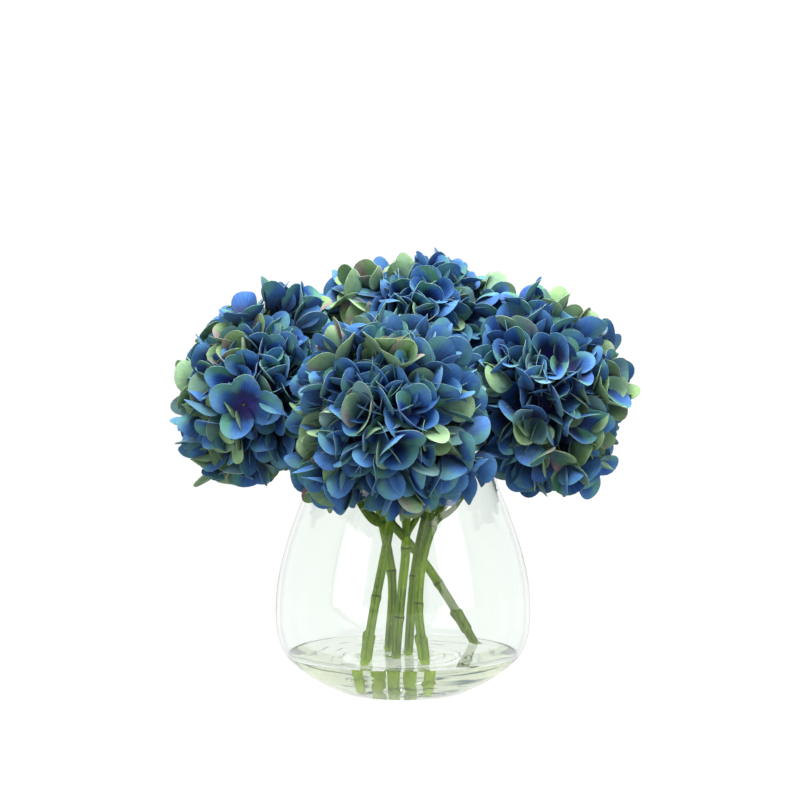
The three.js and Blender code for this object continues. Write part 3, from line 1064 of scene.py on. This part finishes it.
# Geometry nodes
class Growth(Tree):
    """A geometry node tree with named inputs, and the modifier's identifier of each."""

    def __init__(self, name, inputs):
        super().__init__(bpy.data.node_groups.new(name, "GeometryNodeTree"))
        interface = self.made.interface
        interface.new_socket("Geometry", in_out="OUTPUT", socket_type="NodeSocketGeometry")
        interface.new_socket("Geometry", in_out="INPUT", socket_type="NodeSocketGeometry")
        self.identifiers = {}
        for label, kind in inputs.items():
            socket = interface.new_socket(label, in_out="INPUT", socket_type=f"NodeSocket{kind}")
            self.identifiers[label] = socket.identifier
        self.given = self.add("NodeGroupInput", output="Geometry")

    def named(self, name, kind="FLOAT"):
        """A named attribute of the geometry that passes by."""
        return self.add("GeometryNodeInputNamedAttribute", {"Name": name}, output="Attribute", data_type=kind)

    def object_of(self, label):
        """The mesh of the object that an input holds."""
        return self.add("GeometryNodeObjectInfo", {"Object": self.given.beside(label)}, output="Geometry")

    def store(self, geometry, name, value, kind, domain):
        inputs = {"Geometry": geometry, "Name": name, "Value": value}
        return self.add("GeometryNodeStoreNamedAttribute", inputs, data_type=kind, domain=domain)

    def planted(self, instance_inputs, label):
        """Instances on the points that come in, made real together with the object that an input holds."""
        inputs = {"Points": self.given, **instance_inputs}
        instances = self.add("GeometryNodeInstanceOnPoints", inputs)
        both = self.add("GeometryNodeJoinGeometry", {"Geometry": Joined((instances, self.object_of(label)))})
        return self.add("GeometryNodeRealizeInstances", {"Geometry": both})

    def send_out(self, geometry, label):
        """Gives the geometry the material that an input holds and sends it out."""
        inputs = {"Geometry": geometry, "Material": self.given.beside(label)}
        geometry = self.add("GeometryNodeSetMaterial", inputs)
        output = self.made.nodes.new("NodeGroupOutput")
        self.made.links.new(geometry.output, output.inputs["Geometry"])
        return self


def floret_tree():
    """Places a floret on each seat, gives each petal its own chance and lays out the bake map."""
    tree = Growth(
        "Florets on seats",
        {
            "Florets": "Collection",
            "Core": "Object",
            "Floret size": "Float",
            "Bake columns": "Int",
            "Seed": "Int",
            "Cloth": "Material",
        },
    )
    facing = tree.named("facing", "FLOAT_VECTOR")
    facing = tree.add("FunctionNodeAlignRotationToVector", {"Vector": facing}, axis="Z")
    turn = tree.add("FunctionNodeAxisAngleToRotation", {"Axis": (0, 0, 1), "Angle": tree.named("spin")})
    rotations = {"Rotation": facing, "Rotate By": turn}
    rotation = tree.add("FunctionNodeRotateRotation", rotations, rotation_space="LOCAL")
    kinds = tree.add(
        "GeometryNodeCollectionInfo",
        {"Collection": tree.given.beside("Florets"), "Separate Children": True, "Reset Children": True},
    )
    florets = {
        "Instance": kinds,
        "Pick Instance": True,
        "Instance Index": tree.named("kind", "INT"),
        "Rotation": rotation,
        "Scale": tree.named("size") * tree.given.beside("Floret size"),
    }
    cloth = tree.planted(florets, "Core")
    floret = tree.named("floret")
    petal_number = floret * (PETALS + 1) + tree.named("petal")
    chance = tree.add(
        "FunctionNodeRandomValue",
        {"Min": (0, 0, 0), "Max": (1, 1, 1), "ID": petal_number, "Seed": tree.given.beside("Seed")},
        output="Value",
        data_type="FLOAT_VECTOR",
    )
    cloth = tree.store(cloth, "petal_chance", chance, "FLOAT_VECTOR", "POINT")
    columns = tree.given.beside("Bake columns")
    row = (floret / columns).math("FLOOR")
    cell = tree.add("ShaderNodeCombineXYZ", {"X": floret % columns, "Y": row})
    spot = tree.vector_math("ADD", {0: cell, 1: tree.named("FloretUV", "FLOAT_VECTOR")})
    spot = tree.vector_math("SCALE", {0: spot, "Scale": 1 / columns})
    cloth = tree.store(cloth, "OFBake", spot, "FLOAT2", "CORNER")
    return tree.send_out(cloth, "Cloth")


def rod_tree():
    """Places a rod on each seat, from the seat down to its root."""
    tree = Growth("Rods to seats", {"Rod": "Object", "Trunk": "Object", "Stalk": "Material"})
    position = tree.add("GeometryNodeInputPosition")
    span = tree.vector_math("SUBTRACT", {0: position, 1: tree.named("root", "FLOAT_VECTOR")})
    length = tree.vector_math("LENGTH", {0: span}, output="Value")
    radius = tree.named("thickness")
    rods = {
        "Instance": tree.object_of("Rod"),
        "Rotation": tree.add("FunctionNodeAlignRotationToVector", {"Vector": span}, axis="Z"),
        "Scale": tree.add("ShaderNodeCombineXYZ", {"X": radius, "Y": radius, "Z": length}),
    }
    return tree.send_out(tree.planted(rods, "Trunk"), "Stalk")


def add_grown(name, seats, tree, material, values):
    """Adds the plain mesh that a geometry node tree grows on a head's seats with those input values."""
    holder = bpy.data.objects.new(f"{name}_base", seat_mesh(name, seats))
    bpy.context.scene.collection.objects.link(holder)
    modifier = holder.modifiers.new("Grow", "NODES")
    modifier.node_group = tree.made
    for label, value in values.items():
        modifier[tree.identifiers[label]] = value
    evaluated = holder.evaluated_get(bpy.context.evaluated_depsgraph_get())
    mesh = bpy.data.meshes.new_from_object(evaluated)
    mesh.name = name
    holder.modifiers.remove(modifier)
    bpy.data.objects.remove(holder)
    if not mesh.polygons:
        raise RuntimeError(f"{name} came out empty")
    return add_object(name, mesh, material)


def seat_mesh(name, seats):
    """A mesh of loose points that carries the seats' attributes."""
    mesh = bpy.data.meshes.new(f"{name}_seats")
    mesh.from_pydata((seats["points"] * MM).tolist(), [], [])
    for label, values in seats.items():
        if label != "points":
            mark_points(mesh, label, values)
    return mesh


# Vase and pour. The pour is drawn up at the wall, and more so at each stem. It bites a little into the
# glass, and the rings of its surface lie closer towards the wall.
MENISCUS = 0.1
MENISCUS_WIDTH = 1.5
STEM_MENISCUS = 1.1
STEM_RADIUS = 3.3
POUR_BITE = 0.12
POUR_RINGS = 64
POUR_SPREAD = 1.15
LIP_STEPS = 8
# How far the floor has risen where its curve meets the wall's
HEEL_RISE = 1.4
# How far apart rings stay at the pour's edge
RING_GAP = 0.05
EDGE_GAP = 0.02


def vase_profile(settings):
    """The vase's profile from the middle of its foot to the pour's edge, and on to that of its floor."""
    wall, floor = settings.wall / MM, settings.floor / MM
    rim = wall / 2
    level = VASE_HEIGHT - rim
    outside = rounded([(FOOT_RADIUS + 3, 0.6), *OUTER_WALL, (RIM_RADIUS, level)], 6)
    turns = np.linspace(0, math.pi, LIP_STEPS + 1)[1:-1]
    lip = [(RIM_RADIUS - rim + rim * math.cos(a), level + rim * math.sin(a)) for a in turns]
    inside = inner_line(settings)
    wet = wet_height(settings)
    dry = [point for point in inside if point[1] > wet + RING_GAP]
    wetted = [point for point in inside if point[1] < wet - RING_GAP]
    edge = float(np.interp(wet, [p[1] for p in inside], [p[0] for p in inside]))
    above = [*FOOT, *map(tuple, outside), *lip, *dry[::-1], (edge, wet + EDGE_GAP)]
    below = [(edge, wet), *wetted[::-1], (FLOOR_MIDDLE, floor), (0, floor)]
    return above, below


def inner_line(settings):
    """The inner wall as points from the floor up to the lip."""
    wall, floor = settings.wall / MM, settings.floor / MM
    inside = [(radius - wall, height) for radius, height in OUTER_WALL if height > floor + wall]
    heel = [(FLOOR_RADIUS - 3, floor), (FLOOR_RADIUS + 7, floor + HEEL_RISE)]
    line = rounded([*heel, *inside, (RIM_RADIUS - wall, VASE_HEIGHT - wall / 2)], 7)
    return [tuple(point) for point in line]


def wet_height(settings):
    """How high the pour reaches on the wall, where it is drawn up."""
    return settings.pour_level / MM + MENISCUS


def pour_mesh_parts(settings):
    """The pour's points and faces, and which points touch the glass."""
    level, bottom = settings.pour_level / MM, settings.floor / MM - POUR_BITE
    wetted = [point for point in inner_line(settings) if point[1] < wet_height(settings) + RING_GAP]
    line = [(radius + POUR_BITE, height - POUR_BITE) for radius, height in wetted]
    under = [(0, bottom), (FLOOR_MIDDLE, bottom), *line]
    edge = line[-1][0]
    away = np.linspace(0, 1, POUR_RINGS + 1)[1:] ** POUR_SPREAD * edge
    top = [(edge - gap, level) for gap in away[:-1]] + [(0, level)]
    points, faces = lathe([*under, *top], settings.sides)
    first_top = (len(under) - 1) * settings.sides
    surface = np.arange(len(points)) >= first_top
    surface[-2] = False
    points[surface] += np.outer(draw_up(points[surface], edge), UP)
    return points, faces, np.where(surface, 0.0, 1.0)


def draw_up(points, edge):
    """How far the pour's surface is drawn up at the wall and round each stem."""
    gap = edge - np.hypot(points[:, 0], points[:, 1])
    rise = MENISCUS * np.exp(-np.maximum(gap, 0) / MENISCUS_WIDTH)
    for bloom in BLOOMS.values():
        entry = np.array(bloom.stalk[1][:2], float)
        gap = np.linalg.norm(points[:, :2] - entry, axis=1) - STEM_RADIUS
        rise = np.maximum(rise, STEM_MENISCUS * np.exp(-np.maximum(gap, 0) / MENISCUS_WIDTH))
    return rise


# Stems
STALK_SIDES = 14
STALK_RINGS = 130
# Marks are a joint's distance along the stalk in millimetres, up to this far away
JOINT_FAR = 8.0
JOINT_WIDTH = 2.4
FLUTES = 5
FLUTE_DEPTH = 0.035
FLUTE_TWIST = 0.012
# How much thinner a stalk is past its fork, and how far before and after the fork it thins
FORK_THINNING = 0.28
FORK_BEFORE = 4
FORK_AFTER = 10
# How unevenly a sleeve is torn round its upper edge, and how steep its edges are
TEARS = (2.2, 1.3)
TEAR_EDGE = 0.7
SLEEVE_EDGE = 0.8
SLEEVE_FLARE = 0.5
# Twigs leave the stalk this far below the fork, bend so far along it and out from it, and then reach on
TWIG_SIDES = 8
TWIG_RINGS = 16
TWIG_TURNS = (0.3, 3.5, 1.9)
TWIG_BELOW = 4
TWIG_BEND_ALONG = 17
TWIG_BEND_OUT = 9
TWIG_LENGTH = 27
TWIG_TIP_RADIUS = 1.3
TWIG_ROOM = 3.5
# Branches run from the stalk's end to clusters inside the head, and floret stalks on into the florets
CLUSTERS = 12
CLUSTER_REACH = 0.42
FLORET_STALK_END = 0.8
BRANCH_RADIUS = 1.4
BRANCH_ROOM = 3.0


def add_stalk(cloth, bloom, settings):
    """Adds a stalk with its joints and torn sleeves, thinner past its fork."""
    line, spots = evenly(rounded(bloom.stalk, 24), STALK_RINGS)
    length = spots[-1]
    fork = spots[np.argmin(np.abs(line[:, 2] - bloom.fork))]
    turns = ring_turns(STALK_SIDES)
    radii, joint, ridge = [], [], []
    for spot in spots:
        off = min((spot - at * length for at in bloom.joints), key=abs)
        ring = math.exp(-((off / JOINT_WIDTH) ** 2))
        flutes = np.cos(FLUTES * turns + spot * FLUTE_TWIST)
        thin = 1 - FORK_THINNING * smooth(spot, fork - FORK_BEFORE, fork + FORK_AFTER)
        reach = settings.radius / MM * thin * (1 + FLUTE_DEPTH * flutes) + settings.joint_swell / MM * ring
        for at in bloom.sleeves:
            reach = np.maximum(reach, sleeve_reach(settings, spot - at * length, turns, at))
        radii.append(reach)
        joint.extend([max(-JOINT_FAR, min(off, JOINT_FAR))] * STALK_SIDES)
        ridge.extend((0.5 + 0.5 * flutes).tolist())
    points, faces = tube(line, radii, STALK_SIDES)
    cloth.add(points, faces, joint=joint + [JOINT_FAR] * 2, ridge=ridge + [0, 0])
    return line, spots, fork


def sleeve_reach(settings, off, turns, start):
    """How far a torn sleeve stands from the middle of its stalk, round one ring."""
    half = settings.sleeve_length / MM / 2
    torn = half + TEARS[0] * np.sin(2 * turns + 9 * start) + TEARS[1] * np.sin(3 * turns + 1)
    flare = SLEEVE_FLARE * smooth(off, 0, half) * (1 + np.sin(turns))
    begun = smooth(off, -half - SLEEVE_EDGE, -half + SLEEVE_EDGE)
    ended = smooth(off, torn - TEAR_EDGE, torn + TEAR_EDGE)
    return begun * (1 - ended) * (settings.sleeve_radius / MM + flare)


def add_twigs(cloth, bloom, line, spots, fork, settings):
    """Adds the twigs that leave the stalk at its fork and reach up into the head."""
    start = np.argmin(np.abs(spots - fork))
    ahead = unit(line[start + 3] - line[start])
    sideways = unit(np.cross(ahead, TWIG_ASKEW))
    radii = np.linspace(settings.twig_radius / MM, TWIG_TIP_RADIUS, TWIG_RINGS)
    for number, turn in enumerate(TWIG_TURNS):
        out = sideways * math.cos(turn) + np.cross(ahead, sideways) * math.sin(turn)
        begin = line[start + 2 * number] - ahead * TWIG_BELOW
        bend = begin + ahead * TWIG_BEND_ALONG + out * TWIG_BEND_OUT
        inwards = unit(np.array(bloom.centre) - bend)
        tip = bend + (inwards * 0.35 + out * 0.45 + UP * 0.75) * TWIG_LENGTH
        route, _ = evenly(rounded([begin, begin + ahead * 6 + out * 1.6, bend, tip], 8), TWIG_RINGS)
        if clear_of_glass(route, TWIG_ROOM).all():
            cloth.add(*tube(route, radii, TWIG_SIDES), joint=JOINT_FAR, ridge=0.0)


def stalk_seats(bloom, seats, settings):
    """Where the branches and the floret stalks of a head end, where each one starts and how thick it is."""
    directions = spiral(CLUSTERS, -0.6, unit(bloom.faces), 0.5)
    clusters = np.array(bloom.centre) + directions * pressed_reach(bloom, directions)[:, None] * CLUSTER_REACH
    ends = seats["points"] + seats["facing"] * FLORET_STALK_END
    nearest = np.linalg.norm(clusters - ends[:, None], axis=2).argmin(axis=1)
    points = np.concatenate([clusters, ends])
    roots = np.concatenate([[bloom.stalk[-1]] * CLUSTERS, clusters[nearest]])
    radii = [BRANCH_RADIUS] * CLUSTERS + [settings.floret_stalk_radius / MM] * len(ends)
    shares = np.linspace(0, 1, 9)[:, None, None]
    ways = (roots + (points - roots) * shares).reshape(-1, 3)
    kept = clear_of_glass(ways, BRANCH_ROOM).reshape(len(shares), -1).all(axis=0)
    return {"points": points[kept], "root": roots[kept] * MM, "thickness": np.array(radii)[kept] * MM}


def make_rod():
    """A rod of unit radius, waisted in the middle, that hangs one unit down from the origin."""
    one = 1 / MM
    waist = 0.85 * one
    cloth = Cloth()
    cloth.add(*lathe([(0, -one), (one, -one), (waist, -one / 2), (one, 0), (0, 0)], 6))
    return bpy.data.objects.new("rod", cloth.mesh("rod"))


# Property groups
class HeadSettings(bpy.types.PropertyGroup):
    """Sizes and colours of the flower heads."""

    florets: count_property("Florets", "Florets on the outside of a large head", 102)
    kinds: count_property("Kinds", "Differently shaped florets", 12)
    scatter: number_property("Scatter", "Uneven spacing of the florets", 0.06, max=1)
    splay: number_property("Splay", "How the florets part from one spot", 0.4, max=1)
    tilt: number_property("Tilt", "Uneven facing of the florets", 0.22, max=1)
    floret_size: number_property("Floret size", "Scale of every floret", 1.0, least=0.1)
    petal_length: length_property("Petal length", "Length of a petal", 26.5)
    petal_width: length_property("Petal width", "Greatest width of a petal", 22.6)
    petal_thickness: length_property("Petal thickness", "Thickness of the petal cloth", 0.7)
    seed: count_property("Seed", "Start of all the random draws", 11, least=0)
    # Deep blue is painted shade near the petals' claws.
    blue_deep: colour_property("Deep blue", "Blue petals near their claw", 8, 28, 72)
    blue: colour_property("Blue", "Blue petals", 32, 82, 148)
    royal: colour_property("Royal blue", "Blue petals of the stronger kind", 34, 78, 158)
    # Light blue is a painted highlight towards the petals' tips, and also pales their rims.
    blue_light: colour_property("Light blue", "Blue petals where they have faded", 84, 138, 190)
    fringe: colour_property("Green fringe", "Green that edges the blue petals", 84, 142, 110)
    green_deep: colour_property("Deep green", "Green petals near their claw", 74, 118, 108)
    green: colour_property("Green", "Green petals", 116, 150, 90)
    blush: colour_property("Blush", "Pink on some of the green petals", 136, 84, 116)
    vein: colour_property("Veins", "Fine veins", 140, 164, 130)
    throat: colour_property("Throat", "Around the bead of a floret", 54, 48, 124)
    underside_blue: colour_property("Blue underside", "Outside of the blue petals", 80, 130, 178)
    underside_green: colour_property("Green underside", "Outside of the green petals", 122, 156, 132)
    cut_edge: colour_property("Cut edge", "Edge of the petal cloth", 158, 188, 150)
    bead: colour_property("Bead", "Bead in the throat of a floret", 104, 98, 44)


class StemSettings(bpy.types.PropertyGroup):
    """Sizes and colours of the stems."""

    radius: length_property("Radius", "Radius of a stalk", STEM_RADIUS)
    joint_swell: length_property("Joint swell", "How far a joint stands out", 0.55)
    sleeve_radius: length_property("Sleeve radius", "Radius of a torn sleeve", 4.2)
    sleeve_length: length_property("Sleeve length", "Length of a torn sleeve", 17.0)
    twig_radius: length_property("Twig radius", "Radius of a twig at the fork", 2.8)
    floret_stalk_radius: length_property("Floret stalk radius", "Radius of the stalk of a floret", 0.75)
    green_deep: colour_property("Deep green", "Stalk in its darker patches", 68, 96, 10)
    green: colour_property("Green", "Stalk", 108, 140, 26)
    # Pale fibres, and the painted highlight along the flute ridges.
    fibres_and_ridge_sheen: colour_property("Light green", "Pale fibres and ridges", 150, 176, 62)
    # Also painted shade in the grooves between the flutes.
    joint: colour_property("Joint", "Groove of a joint", 36, 46, 16)
    # Painted light on the stalk where it stands in the pour.
    painted_pour_light: colour_property("Pour light", "Stalk where it stands in the pour", 166, 192, 84)
    speck: colour_property("Speck", "Small pale specks", 182, 170, 96)


class VaseSettings(bpy.types.PropertyGroup):
    """Sizes and colours of the vase and its pour."""

    wall: length_property("Wall", "Thickness of the glass wall", 2 * HALF_WALL)
    floor: length_property("Floor", "Thickness of the glass floor", 9.0)
    pour_level: length_property("Pour level", "Height of the pour's surface", 28.0)
    sides: count_property("Sides", "Faces round the vase", 144, least=8)
    glass: colour_property("Glass", "Tint of the glass", 247, 251, 248)
    resin: colour_property("Pour", "Tint of the pour's surface", 254, 255, 253)
    depths: colour_property("Depths", "Tint of what is seen through the pour", 251, 252, 248)


class StageSettings(bpy.types.PropertyGroup):
    """Sizes, colours and lights of the stage, which isn't part of the object."""

    camera_place: place_property("Camera", "Place of the camera", (-0.0022, -1.6, 0.285))
    aim: place_property("Aim", "Point in the middle of the picture", (-0.0022, 0, 0.2123))
    lens: number_property("Lens", "Focal length in millimetres", 98.9, least=1)
    backdrop: colour_property("Backdrop", "Floor and backdrop", 255, 255, 255)
    world: number_property("Surroundings", "Brightness of the surroundings", 1.0)
    room: number_property("Room", "Brightness behind the camera, as glass mirrors it", 0.2)
    fill: number_property("Fill", "What of that brightness lights matt cloth", 0.37)
    bounce: number_property("Bounce", "Share of the backdrop's light that reaches matt cloth", 0.7)
    key: number_property("Overhead", "Power of the overhead light in watts", 49.0)
    side: number_property("Sides", "Power of each side light in watts", 3.8)


# Operators
class HYDRANGEA_OT_heads(bpy.types.Operator):
    """Grow the florets of every flower head"""

    bl_idname = "hydrangea.heads"
    bl_label = "Flower heads"

    def execute(self, context):
        settings = context.scene.hydrangea_heads
        chance = np.random.default_rng(settings.seed)
        kinds = bpy.data.collections.new("Floret kinds")
        for number in range(settings.kinds + PLAIN_KINDS):
            opening = WIDE_OPEN * (number % settings.kinds + 0.5) / settings.kinds
            grid = FINE_PETAL if number < settings.kinds else PLAIN_PETAL
            kinds.objects.link(make_floret(settings, number, opening, grid, chance))
        tree = floret_tree()
        cloth = petal_cloth(settings)
        for name, bloom in BLOOMS.items():
            seats = floret_seats(name, settings)
            count = len(seats["points"])
            core = make_core(bloom, count)
            values = {
                "Florets": kinds,
                "Core": core,
                "Floret size": settings.floret_size,
                "Bake columns": math.ceil(math.sqrt(count + 1)),
                "Seed": settings.seed,
                "Cloth": cloth,
            }
            piece = add_grown(f"florets_{name}", seats, tree, cloth, values)
            dress(piece, "petals", f"head_{name}")
            bpy.data.objects.remove(core)
        for floret in list(kinds.objects):
            bpy.data.objects.remove(floret)
        bpy.data.collections.remove(kinds)
        return {"FINISHED"}


class HYDRANGEA_OT_stems(bpy.types.Operator):
    """Make every stem with its joints, torn sleeves, twigs and floret stalks"""

    bl_idname = "hydrangea.stems"
    bl_label = "Stems"

    def execute(self, context):
        settings = context.scene.hydrangea_stems
        stalk = moulded_stalk(settings)
        tree = rod_tree()
        rod = make_rod()
        for name, bloom in BLOOMS.items():
            cloth = Cloth()
            line, spots, fork = add_stalk(cloth, bloom, settings)
            add_twigs(cloth, bloom, line, spots, fork, settings)
            trunk = bpy.data.objects.new("trunk", cloth.mesh("trunk"))
            florets = floret_seats(name, context.scene.hydrangea_heads)
            seats = stalk_seats(bloom, florets, settings)
            values = {"Rod": rod, "Trunk": trunk, "Stalk": stalk}
            piece = add_grown(f"stalk_{name}", seats, tree, stalk, values)
            dress(piece, "stem", f"stem_{name}")
            bpy.data.objects.remove(trunk)
        bpy.data.objects.remove(rod)
        return {"FINISHED"}


class HYDRANGEA_OT_vase(bpy.types.Operator):
    """Turn the glass vase and pour the clear resin into it"""

    bl_idname = "hydrangea.vase"
    bl_label = "Vase and pour"

    def execute(self, context):
        settings = context.scene.hydrangea_vase
        above, below = vase_profile(settings)
        points, faces = lathe([*above, *below], settings.sides)
        joined = np.where(np.arange(len(points)) < (len(above) - 1) * settings.sides, 0.0, 1.0)
        joined[-2] = 0.0
        glass = clear_cast("vase_glass", settings.glass, settings.depths, GLASS_RIPPLE, EDGE_STRENGTH)
        self.add_body("vase_shell", points, faces, joined, glass, "glass", "vase")
        resin = clear_cast("pour_resin", settings.resin, settings.depths, POUR_RIPPLE, 0.0)
        self.add_body("pour_body", *pour_mesh_parts(settings), resin, "resin", "resin_pour")
        return {"FINISHED"}

    def add_body(self, name, points, faces, joined, material, slot, node):
        """A turned body, marked where the glass and the pour are one."""
        cloth = Cloth()
        cloth.add(points, faces, joined=joined)
        dress(add_object(name, cloth.mesh(name), material), slot, node)


BOUNCES = 24
# How brightly the backdrop glows by itself, and how much of it that is
GLOW = 1.03
GLOW_SHARE = 0.97


class HYDRANGEA_OT_stage(bpy.types.Operator):
    """Set up the pale floor and backdrop, the lights and the camera"""

    bl_idname = "hydrangea.stage"
    bl_label = "Stage"

    def execute(self, context):
        settings = context.scene.hydrangea_stage
        scene = context.scene
        scene.view_settings.view_transform = "Standard"
        for kind in ("max", "transmission", "glossy", "transparent_max"):
            setattr(scene.cycles, f"{kind}_bounces", BOUNCES)
        self.backdrop(settings)
        self.surroundings(scene, settings)
        self.lamp("overhead", settings.key, (0, -0.25, 1.35), (0, 0, 0.2), (1.3, 1.1))
        for name, side in (("left_side", -1), ("right_side", 1)):
            self.lamp(name, settings.side, (0.95 * side, -0.8, 0.5), (0, 0, 0.12), (0.7, 0.9))
        data = bpy.data.cameras.new("camera")
        data.lens = settings.lens
        scene.camera = self.aimed("camera", data, settings.camera_place, settings.aim)
        return {"FINISHED"}

    def backdrop(self, settings):
        """One pale sheet: a floor that bends up into a wall behind."""
        half, front, back, bend, top = 6.0, -6.0, 3.0, 1.5, 6.0
        turns = np.linspace(0, math.pi / 2, 13)
        curve = [(back + bend * math.sin(a), bend - bend * math.cos(a)) for a in turns]
        profile = [(front, 0.0), *curve, (back + bend, top)]
        points = [(x, y, z) for y, z in profile for x in (-half, half)]
        faces = [(2 * i, 2 * i + 1, 2 * i + 3, 2 * i + 2) for i in range(len(profile) - 1)]
        mesh = bpy.data.meshes.new("backdrop")
        mesh.from_pydata(points, [], faces)
        mesh.shade_smooth()
        tree = Finish("backdrop_paper")
        paper = tree.add("ShaderNodeBsdfDiffuse", {"Color": opaque(settings.backdrop)})
        cloth = tree.add("ShaderNodeLightPath", output="Is Diffuse Ray")
        glow = tree.add("ShaderNodeEmission", {"Color": opaque(settings.backdrop), "Strength": GLOW})
        seen = tree.blend(GLOW_SHARE, paper, glow)
        shader = tree.add("ShaderNodeMixShader", {0: cloth * (1 - settings.bounce), 1: seen})
        add_object("backdrop", mesh, tree.surface(shader))

    def surroundings(self, scene, settings):
        """Even white that matt cloth gets less of. Outer surfaces mirror a darker room behind the camera."""
        world = bpy.data.worlds.new("surroundings")
        world.use_nodes = True
        tree = Tree(world.node_tree)
        cloth = tree.add("ShaderNodeLightPath", output="Is Diffuse Ray")
        mirror = cloth.beside("Is Glossy Ray") * (1 - cloth.beside("Is Transmission Ray"))
        forward = tree.add("ShaderNodeTexCoord", output="Generated").parts()[1]
        behind = (0 - forward).ramp(0.1, 0.6) * mirror * (1 - cloth)
        strength = settings.world - cloth * (settings.world - settings.fill)
        strength = strength - behind * (settings.world - settings.room)
        background = world.node_tree.nodes["Background"]
        background.inputs["Color"].default_value = (1, 1, 1, 1)
        world.node_tree.links.new(strength.output, background.inputs["Strength"])
        scene.world = world

    def lamp(self, name, power, place, aim, size):
        """An area light of that width and height."""
        data = bpy.data.lights.new(name, "AREA")
        data.energy = power
        data.shape = "RECTANGLE"
        data.size, data.size_y = size
        self.aimed(name, data, place, aim)

    def aimed(self, name, data, place, aim):
        """A lamp or camera at its place, turned towards its aim."""
        piece = bpy.data.objects.new(name, data)
        piece.location = place
        piece.rotation_euler = (Vector(aim) - piece.location).to_track_quat("-Z", "Y").to_euler()
        bpy.context.scene.collection.objects.link(piece)
        return piece


class HYDRANGEA_PT_sidebar(bpy.types.Panel):
    """Sidebar panel with every step and its settings"""

    bl_idname = "HYDRANGEA_PT_sidebar"
    bl_label = "Hydrangeas in a vase"
    bl_space_type = "VIEW_3D"
    bl_region_type = "UI"
    bl_category = "Hydrangeas"

    def draw(self, context):
        for operator, group in STEPS:
            box = self.layout.box()
            box.operator(operator.bl_idname)
            settings = getattr(context.scene, group)
            for name in settings.__annotations__:
                box.prop(settings, name)


GROUPS = {
    "hydrangea_heads": HeadSettings,
    "hydrangea_stems": StemSettings,
    "hydrangea_vase": VaseSettings,
    "hydrangea_stage": StageSettings,
}
STEPS = (
    (HYDRANGEA_OT_stage, "hydrangea_stage"),
    (HYDRANGEA_OT_vase, "hydrangea_vase"),
    (HYDRANGEA_OT_stems, "hydrangea_stems"),
    (HYDRANGEA_OT_heads, "hydrangea_heads"),
)


def register():
    for name, group in GROUPS.items():
        bpy.utils.register_class(group)
        setattr(bpy.types.Scene, name, PointerProperty(type=group))
    for operator, _ in STEPS:
        bpy.utils.register_class(operator)
    bpy.utils.register_class(HYDRANGEA_PT_sidebar)


def unregister():
    bpy.utils.unregister_class(HYDRANGEA_PT_sidebar)
    for operator, _ in reversed(STEPS):
        bpy.utils.unregister_class(operator)
    for name, group in reversed(GROUPS.items()):
        delattr(bpy.types.Scene, name)
        bpy.utils.unregister_class(group)


def main():
    register()
    bpy.ops.hydrangea.stage()
    bpy.ops.hydrangea.vase()
    bpy.ops.hydrangea.stems()
    bpy.ops.hydrangea.heads()


if __name__ == "__main__":
    main()
